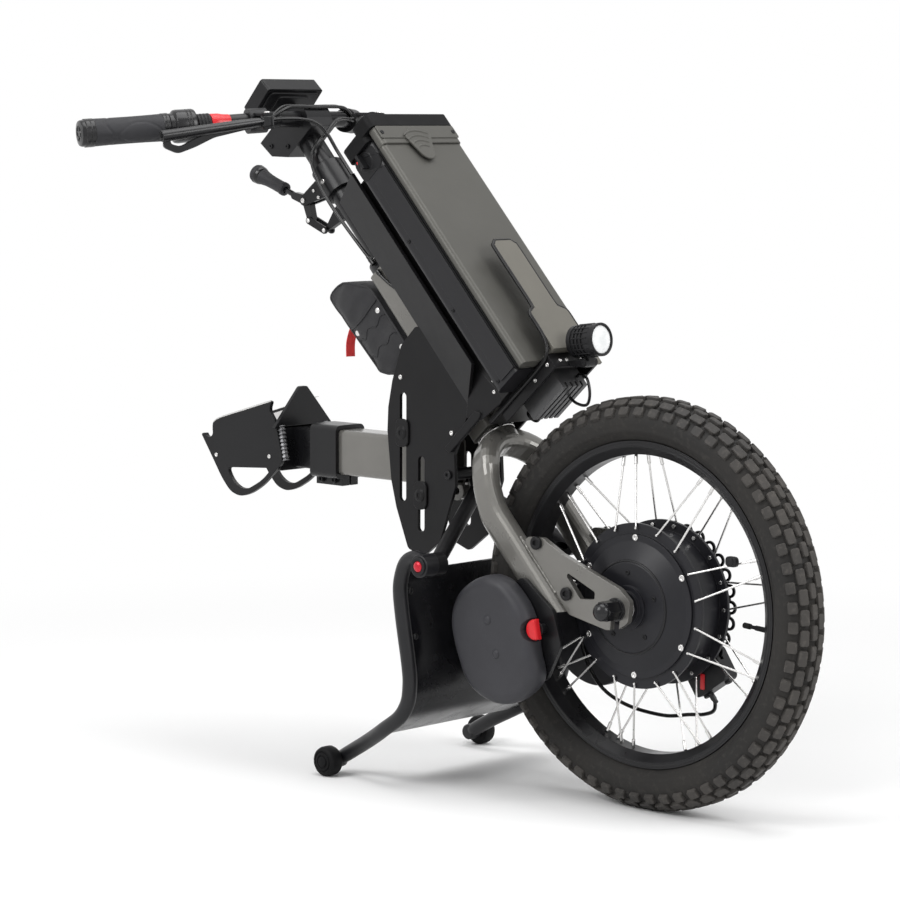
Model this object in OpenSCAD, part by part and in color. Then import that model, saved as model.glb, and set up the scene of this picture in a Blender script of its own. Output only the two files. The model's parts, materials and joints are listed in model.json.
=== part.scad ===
// Electric front-wheel drive unit that docks to a wheelchair and pulls it:
// a steered hub-motor wheel, battery, handlebar, docking arm and parking stand.
// Level frame: +X forward, +Y to the rider's left, +Z up, ground at zero.
// Steering frame: z up the steering axis, x forward of it, origin at the fork crown.

/* [Wheel] */
// Outer radius of the tyre over its lugs
tyre_r = 263; // [255:1:275]
// Width of the tyre over its shoulder lugs
tyre_w = 64; // [58:1:70]
// Lugs in each ring of the tread
lug_count = 64; // [50:2:72]
// Height of a tread lug
lug_h = 5; // [3:0.5:7]
// Radius of the rim's bead seat
bead_r = 203; // [198:1:208]
// Width of the rim over its flanges
rim_w = 39; // [36:1:44]
// Depth of the rim below the bead seat
rim_depth = 13; // [10:1:18]
// Spokes on each flange
spoke_count = 18; // [12:2:24]
// Diameter of a spoke
spoke_d = 2.6; // [2:0.1:3.2]

/* [Hub motor] */
// Radius of the spoke flanges
flange_r = 105; // [100:1:112]
// Distance of each spoke flange from the middle of the wheel
flange_y = 25.5; // [22:0.5:26]
// Radius of the motor drum
motor_r = 92; // [86:1:95]
// Half length of the motor drum
motor_half = 28; // [25:1:31]
// Height of the coned covers beyond the drum
cover_h = 16; // [12:1:18]
// Diameter of the axle
axle_d = 14; // [12:0.5:16]
// Radius of the brake disc
disc_r = 101.5; // [96:0.5:104]
// Thickness of the brake disc
disc_t = 2.2; // [1.8:0.1:2.6]

/* [Steering] */
// Angle of the steering axis above the horizontal
head_angle = 47.5; // [45:0.5:50]
// Distance of the axle ahead of the steering axis
fork_offset = 66.4; // [60:0.1:72]
// Distance of the axle below the crown along the steering axis
fork_drop = 321.3; // [310:0.1:330]
// Distance of each fork leg from the middle plane
leg_y = 64; // [62:1:68]
// Depth of a fork leg, front to back
leg_w = 39; // [35:1:42]
// Thickness of a fork leg, side to side
leg_t = 28; // [25:1:31]
// Thickness of a dropout plate
dropout_t = 8; // [6:0.5:10]
// Diameter of the steerer
steerer_d = 28.6; // [25.4:0.1:31.8]
// Length of the head tube along the steering axis
head_l = 283; // [260:1:300]

/* [Frame] */
// Distance of each side plate's middle from the middle plane
plate_y = 45; // [43:0.5:48]
// Thickness of the side plates
plate_t = 5; // [4:0.5:6]
// Reach of the side plates behind the steering axis
plate_back = 190; // [180:1:200]
// Length of the side plates up the steering axis
plate_l = 390; // [370:1:410]
// Depth of the bent strip along the battery
strip_w = 60; // [50:1:62]
// Outward bend of that strip
strip_bend = 20; // [0:1:24]

/* [Battery] */
// Length of the battery pack
battery_l = 390; // [360:1:410]
// Width of the battery pack
battery_w = 150; // [140:1:160]
// Depth of the battery pack
battery_t = 64; // [58:1:70]
// Distance of the pack's back ahead of the steering axis
battery_x = 94; // [90:1:98]

/* [Docking arm] */
// Width of the arm's outer tube
arm_w = 44; // [40:1:48]
// Height of the arm's outer tube
arm_h = 62; // [56:1:66]
// Wall of the arm's outer tube
arm_wall = 3; // [2:0.5:4]
// Height of the arm's middle below the crown
arm_drop = 40; // [36:1:44]
// Reach of the docking plates behind the crown
dock_tail = 530; // [510:1:550]
// Distance of each docking plate's middle from the middle plane
dock_y = 45; // [42:1:50]
// Diameter of the wheelchair's docking bar
dock_bar_d = 16; // [14:0.5:18]

/* [Stand] */
// Half the distance between the stand's legs
stand_y = 150; // [140:1:160]
// Diameter of the stand's tube
stand_d = 22; // [19:1:25]
// Diameter of the foot wheels
foot_d = 40; // [36:1:46]
// Width of the foot wheels
foot_w = 20; // [16:1:22]

/* [Handlebar] */
// Height of the handlebar's middle above the crown, along the axis
bar_rise = 545; // [530:1:560]
// Diameter of the handlebar
bar_d = 22.2; // [20:0.1:24]
// Half length of the straight middle of the handlebar
bar_flat = 60; // [50:1:70]
// Length of each swept end of the handlebar
bar_end = 276; // [265:1:285]
// Length of a grip
grip_l = 118; // [105:1:125]
// Diameter of a grip
grip_d = 33; // [30:1:36]

/* [Hidden] */
$fn = 64;

// Clearances and shared small sizes
overrun = 1;
run_gap = 0.05;
fit_gap = 0.1;
seat_gap = 0.3;
slide_gap = 0.3;

// Colours of the finishes
tyre_colour = [0.12, 0.11, 0.1];
black = [0.06, 0.06, 0.065];
soft_black = [0.1, 0.1, 0.105];
charcoal = [0.16, 0.16, 0.17];
steel = [0.75, 0.75, 0.76];
greige = [0.5, 0.49, 0.46];
olive = [0.36, 0.36, 0.33];
red = [0.75, 0.06, 0.06];
lens_clear = [0.9, 0.92, 0.94];

// Places of the axle and the fork crown
crown_lead = fork_offset * sin(head_angle) + fork_drop * cos(head_angle);
crown_rise = fork_drop * sin(head_angle) - fork_offset * cos(head_angle);
axle_x = (crown_lead + dock_tail - tyre_r) / 2;
axle_z = tyre_r;
crown_x = axle_x - crown_lead;
crown_z = axle_z + crown_rise;

module axle_line() translate([axle_x, 0, axle_z]) rotate([90, 0, 0]) children();
module level() translate([crown_x, 0, crown_z]) children();
module tilt() level() rotate([0, head_angle - 90, 0]) children();
// The deck under the battery keeps its distance from the tyre
deck_gap = 58.3;
deck_lift = tyre_r + deck_gap - fork_drop;
module deck() tilt() translate([0, 0, deck_lift]) children();
module both_sides() {
    children();
    mirror([0, 1, 0]) children();
}

// Turns a level offset from the crown into the steering frame
function to_tilt(p) = [p[0] * sin(head_angle) + p[2] * cos(head_angle), p[1],
    p[2] * sin(head_angle) - p[0] * cos(head_angle)];

// Outline in the x-z plane, thickened from y0 towards +Y
module slab(y0, thick) translate([0, y0 + thick, 0]) rotate([90, 0, 0]) linear_extrude(thick) children();

function unit(v) = v / norm(v);
function scaled(shares, size) = [for (p = shares) [p[0] * size[0], p[1] * size[1]]];

module rod(p, q, r) {
    v = q - p;
    translate(p) rotate([0, acos(v[2] / norm(v)), atan2(v[1], v[0])]) cylinder(r = r, h = norm(v));
}

module round_rect(w, h, r) {
    square([w - 2 * r, h], center = true);
    square([w, h - 2 * r], center = true);
    for (x = [-1, 1], y = [-1, 1]) translate([x * (w / 2 - r), y * (h / 2 - r)]) circle(r);
}

module round_poly(points, r) offset(r, $fn = 24) offset(-r) polygon(points);

// Solid through a list of rings that run counter-clockwise about the way forward
module loft(rings) {
    n = len(rings[0]);
    m = len(rings);
    points = [for (ring = rings) for (p = ring) p];
    sides = [for (i = [0:m - 2]) for (j = [0:n - 1]) for (t = [0, 1])
        t == 0 ? [i * n + j, (i + 1) * n + j, (i + 1) * n + (j + 1) % n]
               : [i * n + j, (i + 1) * n + (j + 1) % n, i * n + (j + 1) % n]];
    first = [for (j = [0:n - 1]) j];
    last = [for (j = [n - 1:-1:0]) (m - 1) * n + j];
    polyhedron(points, concat([first], sides, [last]));
}

// Smooth curve through hand-chosen points
function curve_at(a, b, c, d, k) = b + (c - a) * k / 2 + (2 * a - 5 * b + 4 * c - d) * k * k / 2
    + (3 * b - a - 3 * c + d) * k * k * k / 2;
function curve(p, steps) = concat(
    [for (i = [0:len(p) - 2]) for (k = [0:steps - 1])
        curve_at(p[max(i - 1, 0)], p[i], p[i + 1], p[min(i + 2, len(p) - 1)], k / steps)],
    [p[len(p) - 1]]);

function way(path, i) = unit(path[min(i + 1, len(path) - 1)] - path[max(i - 1, 0)]);
module sweep(path, r, sides, side_way) {
    rings = [for (i = [0:len(path) - 1]) let (w = way(path, i), u = unit(cross(side_way, w)), v = cross(w, u))
        [for (j = [0:sides - 1]) path[i] + r * (cos(360 * j / sides) * u + sin(360 * j / sides) * v)]];
    loft(rings);
}

// Tyre: an open casing with tapered blocks in two centre rings and two shoulder rings
casing_t = 4;
casing_r = tyre_r - lug_h;
casing_mid = (casing_r + bead_r) / 2;
casing_high = casing_r - casing_mid;
lug_side = 2;
casing_half = tyre_w / 2 - lug_side;
rim_flange_t = 2.5;
rim_flange_h = 5;
neck_y = rim_w / 2 - rim_flange_t - seat_gap;
bead_t = 4;
casing_sweep = 140;
inner_sweep = 118;
casing_steps = 8;
inner_steps = 4;
function casing_point(a, inset) =
    [casing_mid + (casing_high - inset) * cos(a), (casing_half - inset) * sin(a)];
tyre_section = concat(
    [for (i = [0:casing_steps]) casing_point(-casing_sweep + 2 * casing_sweep * i / casing_steps, 0)],
    [[bead_r + rim_flange_h + seat_gap, neck_y], [bead_r + seat_gap, neck_y],
     [bead_r + seat_gap, neck_y - bead_t]],
    [for (i = [0:inner_steps]) casing_point(inner_sweep - 2 * inner_sweep * i / inner_steps, casing_t)],
    [[bead_r + seat_gap, bead_t - neck_y], [bead_r + seat_gap, -neck_y],
     [bead_r + rim_flange_h + seat_gap, -neck_y]]);
lug_root = 2;
lug_pitch = 360 / lug_count;
centre_lug_l = 17;
centre_lug_w = 13;
shoulder_lug_l = 16;
shoulder_lug_w = 13;
lug_top_share = 0.78;
centre_angle = 15;
shoulder_angle = 54;
// A block that stands on a root and narrows to its top
module lug(l, w, high) hull() {
    translate([-lug_root, -l / 2, -w / 2]) cube([lug_root, l, w]);
    translate([0, -l * lug_top_share / 2, -w * lug_top_share / 2])
        cube([high, l * lug_top_share, w * lug_top_share]);
}
module centre_block(side) {
    base = casing_point(centre_angle, 0);
    translate([base[0], 0, side * base[1]]) lug(centre_lug_l, centre_lug_w, tyre_r - base[0]);
}
module shoulder_block(side) {
    base = casing_point(side * shoulder_angle, 0);
    translate([base[0], 0, base[1]]) rotate([0, -side * shoulder_angle, 0])
        lug(shoulder_lug_l, shoulder_lug_w, lug_h);
}
module tyre() color(tyre_colour) axle_line() {
    rotate_extrude($fn = lug_count) polygon(tyre_section);
    for (i = [0:lug_count - 1]) rotate(i * lug_pitch) {
        for (side = [-1, 1]) rotate(lug_pitch * (2 + side) / 4) centre_block(side);
        for (side = [-1, 1]) shoulder_block(side);
    }
}

// Rim with a bead seat between two hooked flanges
rim_half = rim_w / 2;
rim_shoulder = 11;
rim_well = 3;
rim_r = bead_r - rim_depth;
module rim() color(black) axle_line() rotate_extrude() polygon([
    [bead_r + rim_flange_h, -rim_half], [bead_r + rim_flange_h, rim_flange_t - rim_half],
    [bead_r, rim_flange_t - rim_half], [bead_r - rim_well, -rim_shoulder / 2],
    [bead_r - rim_well, rim_shoulder / 2],
    [bead_r, rim_half - rim_flange_t], [bead_r + rim_flange_h, rim_half - rim_flange_t],
    [bead_r + rim_flange_h, rim_half], [bead_r - rim_well, rim_half], [rim_r, rim_shoulder],
    [rim_r, -rim_shoulder], [bead_r - rim_well, -rim_half]]);

// Spokes with a bent head through the flange and a nipple at the rim
flange_t = 4;
hole_inset = 6;
hole_r = flange_r - hole_inset;
spoke_r = spoke_d / 2;
elbow_r = spoke_r + 2 * fit_gap;
spoke_head_r = 2.6;
spoke_head_t = 1.6;
nipple_d = 4.6;
nipple_l = 12;
nipple_seat = 0.8;
elbow_lift = 2;
spoke_lean = 7;
rim_spoke_y = 4;
function around(r, a, z) = [r * cos(a), r * sin(a), z];
module spoke(a, lean, side) {
    elbow_z = flange_y + flange_t / 2 + spoke_r + elbow_lift;
    inner_z = flange_y - flange_t / 2 - fit_gap;
    start = around(hole_r, a, side * elbow_z);
    stop = around(rim_r - nipple_seat, a + lean, side * rim_spoke_y);
    nipple_start = stop - unit(stop - start) * nipple_l;
    rod(start, stop, spoke_r);
    rod(nipple_start, stop, nipple_d / 2);
    head = around(hole_r, a, side * (inner_z - spoke_head_t));
    rod(around(hole_r, a, side * (elbow_z + elbow_r)), head, elbow_r);
    rod(around(hole_r, a, side * inner_z), head, spoke_head_r);
}
module spokes() color(steel) axle_line()
    for (side = [-1, 1], i = [0:spoke_count - 1])
        spoke((i + (side + 1) / 4) * 360 / spoke_count, i % 2 == 0 ? spoke_lean : -spoke_lean, side);

// Motor drum with two drilled spoke flanges
drum_wall = 8;
module motor_shell() color(black) axle_line() difference() {
    union() {
        cylinder(r = motor_r, h = 2 * motor_half, center = true);
        for (side = [-1, 1]) translate([0, 0, side * flange_y])
            cylinder(r = flange_r, h = flange_t, center = true);
    }
    cylinder(r = motor_r - drum_wall, h = 2 * motor_half + overrun, center = true);
    for (side = [-1, 1], i = [0:spoke_count - 1])
        rotate((i + (side + 1) / 4) * 360 / spoke_count) translate([hole_r, 0, side * flange_y])
            cylinder(r = elbow_r + fit_gap, h = flange_t + overrun, center = true);
}

// Coned covers with stepped bosses that hold the bearings
bearing_r = 16;
bearing_w = 9;
cover_rim_t = 3;
cover_wall = 4;
cone_r = 83;
face_r = 56;
boss_r = 28;
neck_r = 22;
step_h = 4;
face_z = motor_half + cover_h;
module cover() rotate_extrude() polygon([
    [bearing_r, face_z - cover_wall - overrun], [bearing_r, face_z + 2 * step_h],
    [neck_r, face_z + 2 * step_h], [neck_r, face_z + step_h], [boss_r, face_z + step_h],
    [boss_r, face_z], [face_r, face_z],
    [cone_r, motor_half + cover_rim_t + overrun], [motor_r - overrun, motor_half + cover_rim_t],
    [motor_r - overrun, motor_half], [cone_r - cover_wall, motor_half],
    [face_r - cover_wall, face_z - cover_wall], [neck_r, face_z - cover_wall],
    [neck_r, face_z - cover_wall - overrun]]);
module motor_covers() color(soft_black) axle_line() {
    cover();
    mirror([0, 0, 1]) cover();
}

// Brake disc with a looped rim and a six-armed spider, on the left cover
loop_count = 28;
loop_r = 9;
loop_hole_r = 5.4;
track_r = 84;
spider_r = 50;
spider_arm = 10;
spider_count = 6;
module loops() for (i = [0:loop_count - 1]) rotate(i * 360 / loop_count)
    translate([disc_r - loop_r, 0]) children();
module disc_outline() difference() {
    union() {
        difference() {
            circle(disc_r - loop_r);
            circle(track_r);
        }
        loops() circle(loop_r);
        for (i = [0:spider_count - 1]) rotate(i * 360 / spider_count)
            translate([boss_r + overrun, -spider_arm / 2]) square([track_r - boss_r, spider_arm]);
        circle(spider_r);
    }
    circle(boss_r + fit_gap);
    loops() circle(loop_hole_r);
}
module brake_disc() color(black) axle_line() translate([0, 0, -face_z - disc_t])
    linear_extrude(disc_t) disc_outline();

// Fork: a flattened tube bent into an arch, with the crown boss and the steerer
leg_round = 11;
round_steps = 4;
arch_z = -76;
leg_short = 59.3;
leg_end_z = leg_short - fork_drop;
leg_back = -21;
crown_front = 4;
bend_top = -35;
bend_low = -112;
bend_step = 8.7;
end_slope = 0.65;
crown_r = 27;
crown_top = 4;
crown_base = -16;
function ease(k) = k * k * (3 - 2 * k);
function leg_x(z) = crown_front
    + (leg_back - crown_front) * ease(min(1, max(0, (bend_top - z) / (bend_top - bend_low))));
leg_ring = [for (c = [0:3]) for (k = [0:round_steps])
    let (a = c * 90 + 90 * k / round_steps, sx = c == 0 || c == 3 ? 1 : -1, sy = c < 2 ? 1 : -1)
    [sx * (leg_t / 2 - leg_round) + leg_round * cos(a), sy * (leg_w / 2 - leg_round) + leg_round * sin(a)]];
leg_zs = [leg_end_z, (leg_end_z + bend_low) / 2, bend_low, bend_low + bend_step, bend_low + 2 * bend_step,
    bend_low + 3 * bend_step];
arch_steps = 18;
function leg_section(y, z, out, slope) = [for (p = leg_ring)
    [leg_x(z) + p[1], y + p[0] * out[0], z + p[0] * out[1] - slope * p[1]]];
fork_rings = concat(
    [for (i = [0:len(leg_zs) - 1]) leg_section(-leg_y, leg_zs[i], [-1, 0], i == 0 ? end_slope : 0)],
    [for (i = [0:arch_steps]) let (a = 180 - 180 * i / arch_steps)
        leg_section(leg_y * cos(a), arch_z + leg_y * sin(a), [cos(a), sin(a)], 0)],
    [for (i = [len(leg_zs) - 1:-1:0]) leg_section(leg_y, leg_zs[i], [1, 0], i == 0 ? end_slope : 0)]);
module fork() color(greige) tilt() {
    loft(fork_rings);
    translate([0, 0, crown_base]) cylinder(r = crown_r, h = crown_top - crown_base);
    translate([0, 0, crown_base]) cylinder(d = steerer_d, h = steerer_top - crown_base);
}

// Dropout plates welded to the fronts of the legs, open below the axle
leg_front = leg_back + leg_w / 2;
dropout_shares = [[0, -0.48], [0.43, -0.56], [0.62, -0.67], [1.32, -0.95], [1.36, -1.02], [1.06, -1.075],
    [0.78, -1.065], [0.55, -1.03], [0, -0.87]];
window_shares = [[0.44, -0.715], [0.42, -0.86], [0.7, -0.905], [0.8, -0.885]];
window_round = 3;
dropout_round = 8;
dropout_points = [for (p = dropout_shares) [leg_front + p[0] * (fork_offset - leg_front), p[1] * fork_drop]];
window_points = [for (p = window_shares) [leg_front + p[0] * (fork_offset - leg_front), p[1] * fork_drop]];
module dropout_plates() color(greige) tilt() both_sides() difference() {
    slab(leg_y - dropout_t / 2, dropout_t) difference() {
        intersection() {
            round_poly(dropout_points, dropout_round);
            translate([leg_front, -fork_drop * 2]) square(fork_drop * 2);
        }
        round_poly(window_points, window_round);
    }
    translate([fork_offset, leg_y, -fork_drop]) rotate([90, 0, 0]) {
        cylinder(r = axle_d / 2 + fit_gap, h = dropout_t + overrun, center = true);
        rotate(-head_angle) translate([-axle_d / 2 - fit_gap, -fork_drop / 4, -dropout_t])
            cube([axle_d + 2 * fit_gap, fork_drop / 4, 2 * dropout_t]);
    }
}

// Axle with shoulders against the dropouts, and domed nuts outside them
shoulder_r = 11;
thread_l = 24;
axle_half = leg_y + dropout_t / 2 + thread_l;
shoulder_start = face_z + 2 * step_h + overrun;
shoulder_stop = leg_y - dropout_t / 2;
module axle() color(steel) axle_line() {
    cylinder(d = axle_d, h = 2 * axle_half, center = true);
    for (side = [-1, 1]) translate([0, 0, side * (shoulder_start + shoulder_stop) / 2])
        cylinder(r = shoulder_r, h = shoulder_stop - shoulder_start, center = true);
}
washer_r = 15;
washer_t = 2;
nut_r = 13.5;
nut_h = 24;
dome_r = 12;
module axle_nuts() color(black) axle_line() for (side = [0, 1]) mirror([0, 0, side])
    translate([0, 0, leg_y + dropout_t / 2]) difference() {
        union() {
            cylinder(r = washer_r, h = washer_t);
            cylinder(r = nut_r, h = washer_t + nut_h, $fn = 6);
            translate([0, 0, washer_t + nut_h]) sphere(dome_r);
        }
        translate([0, 0, -overrun])
            cylinder(r = axle_d / 2 + run_gap, h = overrun + washer_t + nut_h + dome_r / 2);
    }

// Slotted stator on the axle, inside the drum
magnet_gap = 4;
stator_r = motor_r - drum_wall - magnet_gap;
stator_half = 18;
slot_count = 24;
slot_w = 6;
slot_depth = 22;
module motor_stator() color([0.45, 0.3, 0.2]) axle_line() translate([0, 0, -stator_half])
    linear_extrude(2 * stator_half) difference() {
        circle(stator_r);
        circle(axle_d / 2 + run_gap);
        for (i = [0:slot_count - 1]) rotate(i * 360 / slot_count)
            translate([stator_r - slot_depth, -slot_w / 2]) square([slot_depth + overrun, slot_w]);
    }
module motor_bearings() color(steel) axle_line() for (side = [-1, 1])
    translate([0, 0, side * (face_z + bearing_w / 2)]) difference() {
        cylinder(r = bearing_r - run_gap, h = bearing_w - overrun, center = true);
        cylinder(r = axle_d / 2 + run_gap, h = bearing_w, center = true);
    }

// Brake caliper on an arm from the left dropout, straddling the disc
caliper_angle = -56;
caliper_r = 104;
caliper_size = [46, 58, 24];
caliper_round = 7;
caliper_slot = 6;
pad_gap = 3;
disc_y = face_z + disc_t / 2;
caliper_y = disc_y + pad_gap;
arm_plate_t = 6;
arm_eye_r = 20;
arm_end_r = 16;
arm_y = leg_y - dropout_t / 2 - arm_plate_t;
module caliper_place() translate([axle_x, 0, axle_z]) rotate([0, -caliper_angle, 0]) children();
module brake_caliper() color(black) {
    caliper_place() difference() {
        translate([caliper_r, caliper_y, 0]) rotate([90, 0, 0])
            linear_extrude(caliper_size[2], center = true)
                round_rect(caliper_size[0], caliper_size[1], caliper_round);
        translate([0, disc_y, 0]) rotate([90, 0, 0])
            cylinder(r = disc_r + pad_gap, h = caliper_slot, center = true);
    }
    caliper_place() difference() {
        slab(arm_y, arm_plate_t) hull() {
            circle(arm_eye_r, $fn = 32);
            translate([caliper_r, 0]) circle(arm_end_r, $fn = 32);
        }
        rotate([90, 0, 0]) cylinder(r = shoulder_r + fit_gap, h = 4 * leg_y, center = true);
        translate([caliper_r, caliper_y, 0])
            cube([caliper_size[0], caliper_size[2] + fit_gap, caliper_size[1]], center = true);
    }
}

// Brake hose from the caliper under the hub to the left fork leg, from the axle
hose_d = 5;
hose_steps = 3;
cord_sides = 8;
hose_route = [[59.7, 48, -114], [66, 49, -124], [60, 54, -137], [40, 59, -145], [13, 63, -149.5],
    [-32, 66, -157], [-96, 68, -152], [-142, 68, -132], [-168, 66, -92], [-172, 64, -48],
    [-162, 64, -16], [-146, 64, -3]];
module brake_hose() color(black) translate([axle_x, 0, axle_z])
    sweep(curve(hose_route, hose_steps), hose_d / 2, cord_sides, [0, 1, 0]);

// Ballast weights on plates bolted to the fork legs, released by half-round knobs
bracket_t = 6;
bracket_y = leg_y + leg_t / 2;
ballast_t = 28;
ballast_y = bracket_y + bracket_t + slide_gap;
ballast_w = 180;
ballast_h = 164;
ballast_at = [110, -245];
ballast_shares = [[-0.244, 0.183, 0.274], [0.056, 0.232, 0.268], [0.267, -0.171, 0.213],
    [-0.033, -0.232, 0.262], [-0.178, -0.195, 0.274]];
ballast_edge = 9;
knob_r = 14;
knob_at = [160, -226];
knob_gap = 2;
knob_notch_r = knob_r + knob_gap;
knob_pin_r = 4;
knob_t = 24;
bracket_shares = [[0.07, 0.5], [0.36, 0.26], [0.44, 0], [0.3, -0.3], [-0.1, -0.3], [-0.25, 0.1],
    [-0.1, 0.35]];
bracket_round = 10;
module ballast_disc(i, shrink) translate([ballast_shares[i][0] * ballast_w, ballast_shares[i][1] * ballast_h])
    circle(ballast_shares[i][2] * ballast_h - shrink, $fn = 40);
module ballast_outline(shrink) hull() for (i = [0:len(ballast_shares) - 1]) ballast_disc(i, shrink);
module ballast_place() level() both_sides() translate([ballast_at[0], 0, ballast_at[1]]) children();
module ballast_weights() color(charcoal) difference() {
    ballast_place() {
        slab(-ballast_y - ballast_t + ballast_edge, ballast_t - ballast_edge) ballast_outline(0);
        slab(-ballast_y - ballast_t + ballast_edge / 3, ballast_edge) ballast_outline(ballast_edge / 3);
        slab(-ballast_y - ballast_t, ballast_edge) ballast_outline(ballast_edge);
    }
    level() both_sides() translate([knob_at[0], -ballast_y, knob_at[1]]) rotate([90, 0, 0])
        translate([0, 0, -overrun]) cylinder(r = knob_notch_r, h = ballast_t + 2 * overrun);
}
module ballast_brackets() color(black) ballast_place() difference() {
    slab(-bracket_y - bracket_t, bracket_t)
        round_poly(scaled(bracket_shares, [ballast_w, ballast_h]), bracket_round);
    translate([knob_at[0] - ballast_at[0], -bracket_y, knob_at[1] - ballast_at[1]]) rotate([90, 0, 0])
        cylinder(r = knob_pin_r + run_gap, h = 3 * bracket_t, center = true);
}
module ballast_knob() level() translate([knob_at[0], -bracket_y, knob_at[1]]) rotate([90, 0, 0]) {
    translate([0, 0, overrun]) cylinder(r = knob_pin_r, h = bracket_t + slide_gap + overrun);
    translate([0, 0, bracket_t + slide_gap]) intersection() {
        cylinder(r = knob_r, h = knob_t);
        translate([-knob_r, -knob_r, 0]) cube([knob_r + knob_pin_r, 2 * knob_r, knob_t]);
    }
}
module ballast_knob_right() color(red) ballast_knob();
module ballast_knob_left() color(red) mirror([0, 1, 0]) ballast_knob();

// Side plates: a slotted lower blade and a strip bent outwards along the battery
blade_shares = [[-1, -0.09], [-0.895, 0.049], [-0.805, 0.133], [-0.6, 0.27], [-0.48, 0.328], [-0.326, 0.382],
    [-0.09, 0.445], [0.132, 0.45], [0.132, 0.085], [-0.205, 0.013], [-0.342, -0.069], [-0.72, -0.165],
    [-0.93, -0.155]];
blade_round = 8;
strip_x_share = 0.132;
strip_start_share = 0.1;
strip_x = strip_x_share * plate_back;
strip_start = strip_start_share * plate_l;
strip_cut_share = 0.4;
slot_r = 6;
slots = [[-126, -92, 54], [-92, -130, -29]];
plate_in = plate_y - plate_t / 2;
plate_out = plate_y + plate_t / 2;
strip_lap = plate_t * tan(strip_bend);
module strip_outline() polygon([[-strip_lap, strip_start], [strip_w, strip_start + strip_w * strip_cut_share],
    [strip_w, plate_l], [-strip_lap, plate_l]]);
module plate_slot(x, low, high) translate([x, 0, 0]) rotate([90, 0, 0])
    for (z = [low, high]) translate([0, z, 0]) cylinder(r = slot_r, h = 4 * plate_y, center = true);
module side_plates() color(black) both_sides() difference() {
    union() {
        tilt() slab(-plate_out, plate_t) intersection() {
            round_poly(scaled(blade_shares, [plate_back, plate_l]), blade_round);
            translate([strip_x - 2 * plate_back, -plate_l]) square([2 * plate_back, 2 * plate_l]);
        }
        tilt() translate([strip_x, -plate_out, 0]) rotate(-strip_bend) slab(0, plate_t) strip_outline();
    }
    level() for (s = slots) {
        plate_slot(s[0], s[1] + slot_r, s[2] - slot_r);
        translate([s[0] - slot_r, -2 * plate_y, s[1] + slot_r])
            cube([2 * slot_r, 4 * plate_y, s[2] - s[1] - 2 * slot_r]);
    }
}

// Head tube with webs that carry the side plates and the battery rail
head_w = 50;
head_t = 44;
head_round = 8;
headset_r = 19;
headset_w = 8;
headset_gap = 4;
head_low = crown_top + headset_gap;
steerer_proud = 12;
steerer_top = head_low + head_l + steerer_proud;
web_t = 8;
web_back = -20;
rail_x = 63;
web_zs = [24, 132];
module head_tube() color(greige) tilt() difference() {
    union() {
        translate([0, 0, head_low]) linear_extrude(head_l) round_rect(head_t, head_w, head_round);
        for (z = web_zs) translate([web_back, -plate_in, z]) cube([rail_x - web_back, 2 * plate_in, web_t]);
    }
    translate([0, 0, head_low - overrun]) cylinder(r = headset_r, h = head_l + 2 * overrun);
}
module headset_bearings() color(steel) tilt()
    for (z = [head_low, head_low + head_l - headset_w]) translate([0, 0, z]) difference() {
        cylinder(r = headset_r - run_gap, h = headset_w);
        translate([0, 0, -overrun]) cylinder(d = steerer_d + 2 * run_gap, h = headset_w + 2 * overrun);
    }

// Battery rail behind the pack, tray under it and guard plate before it
rail_w = 100;
rail_l = 376;
rail_wall = 4;
tray_top = 3.7;
floor_t = 6;
tray_w = 84;
tray_back = 34;
tray_front = 172;
skirt_back = 60;
skirt_t = 4;
skirt_h = 16;
battery_z = tray_top + slide_gap;
rail_t = battery_x - slide_gap - rail_x;
module battery_rail() color(black) deck() translate([rail_x, 0, tray_top]) difference() {
    translate([0, -rail_w / 2, 0]) cube([rail_t, rail_w, rail_l]);
    translate([rail_wall, -rail_w / 2 + rail_wall, rail_wall])
        cube([rail_t - 2 * rail_wall, rail_w - 2 * rail_wall, rail_l]);
}
ear_gap = 12;
ear_t = 5;
lamp_pivot = [190, 0, -28];
lamp_pin_r = 3;
ear_r = 6;
ear_root_h = 7;
module battery_tray() color(soft_black) deck() {
    skirt_z = tray_top - floor_t - skirt_h;
    translate([tray_back, -tray_w / 2, tray_top - floor_t]) cube([tray_front - tray_back, tray_w, floor_t]);
    for (side = [-1, 1]) translate([skirt_back, side * (tray_w - skirt_t) / 2 - skirt_t / 2, skirt_z])
        cube([tray_front - skirt_back, skirt_t, skirt_h]);
    translate([tray_front - skirt_t, -tray_w / 2, skirt_z]) cube([skirt_t, tray_w, skirt_h]);
    for (side = [-1, 1]) difference() {
        slab(side * (ear_gap + ear_t) / 2 - ear_t / 2, ear_t) hull() {
            translate([lamp_pivot[0], lamp_pivot[2]]) circle(ear_r, $fn = 32);
            translate([tray_front - overrun, skirt_z]) square([overrun, ear_root_h]);
        }
        translate(lamp_pivot) rotate([90, 0, 0])
            cylinder(r = lamp_pin_r + run_gap, h = tray_w, center = true);
    }
}
guard_x = 178;
guard_t = 4;
guard_top = 186;
guard_step = 72;
guard_w = 44;
guard_foot_w = 72;
guard_foot_x = 160;
guard_chamfer = 8;
tail_y = 22;
tail_w = 14;
tail_h = 28;
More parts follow.
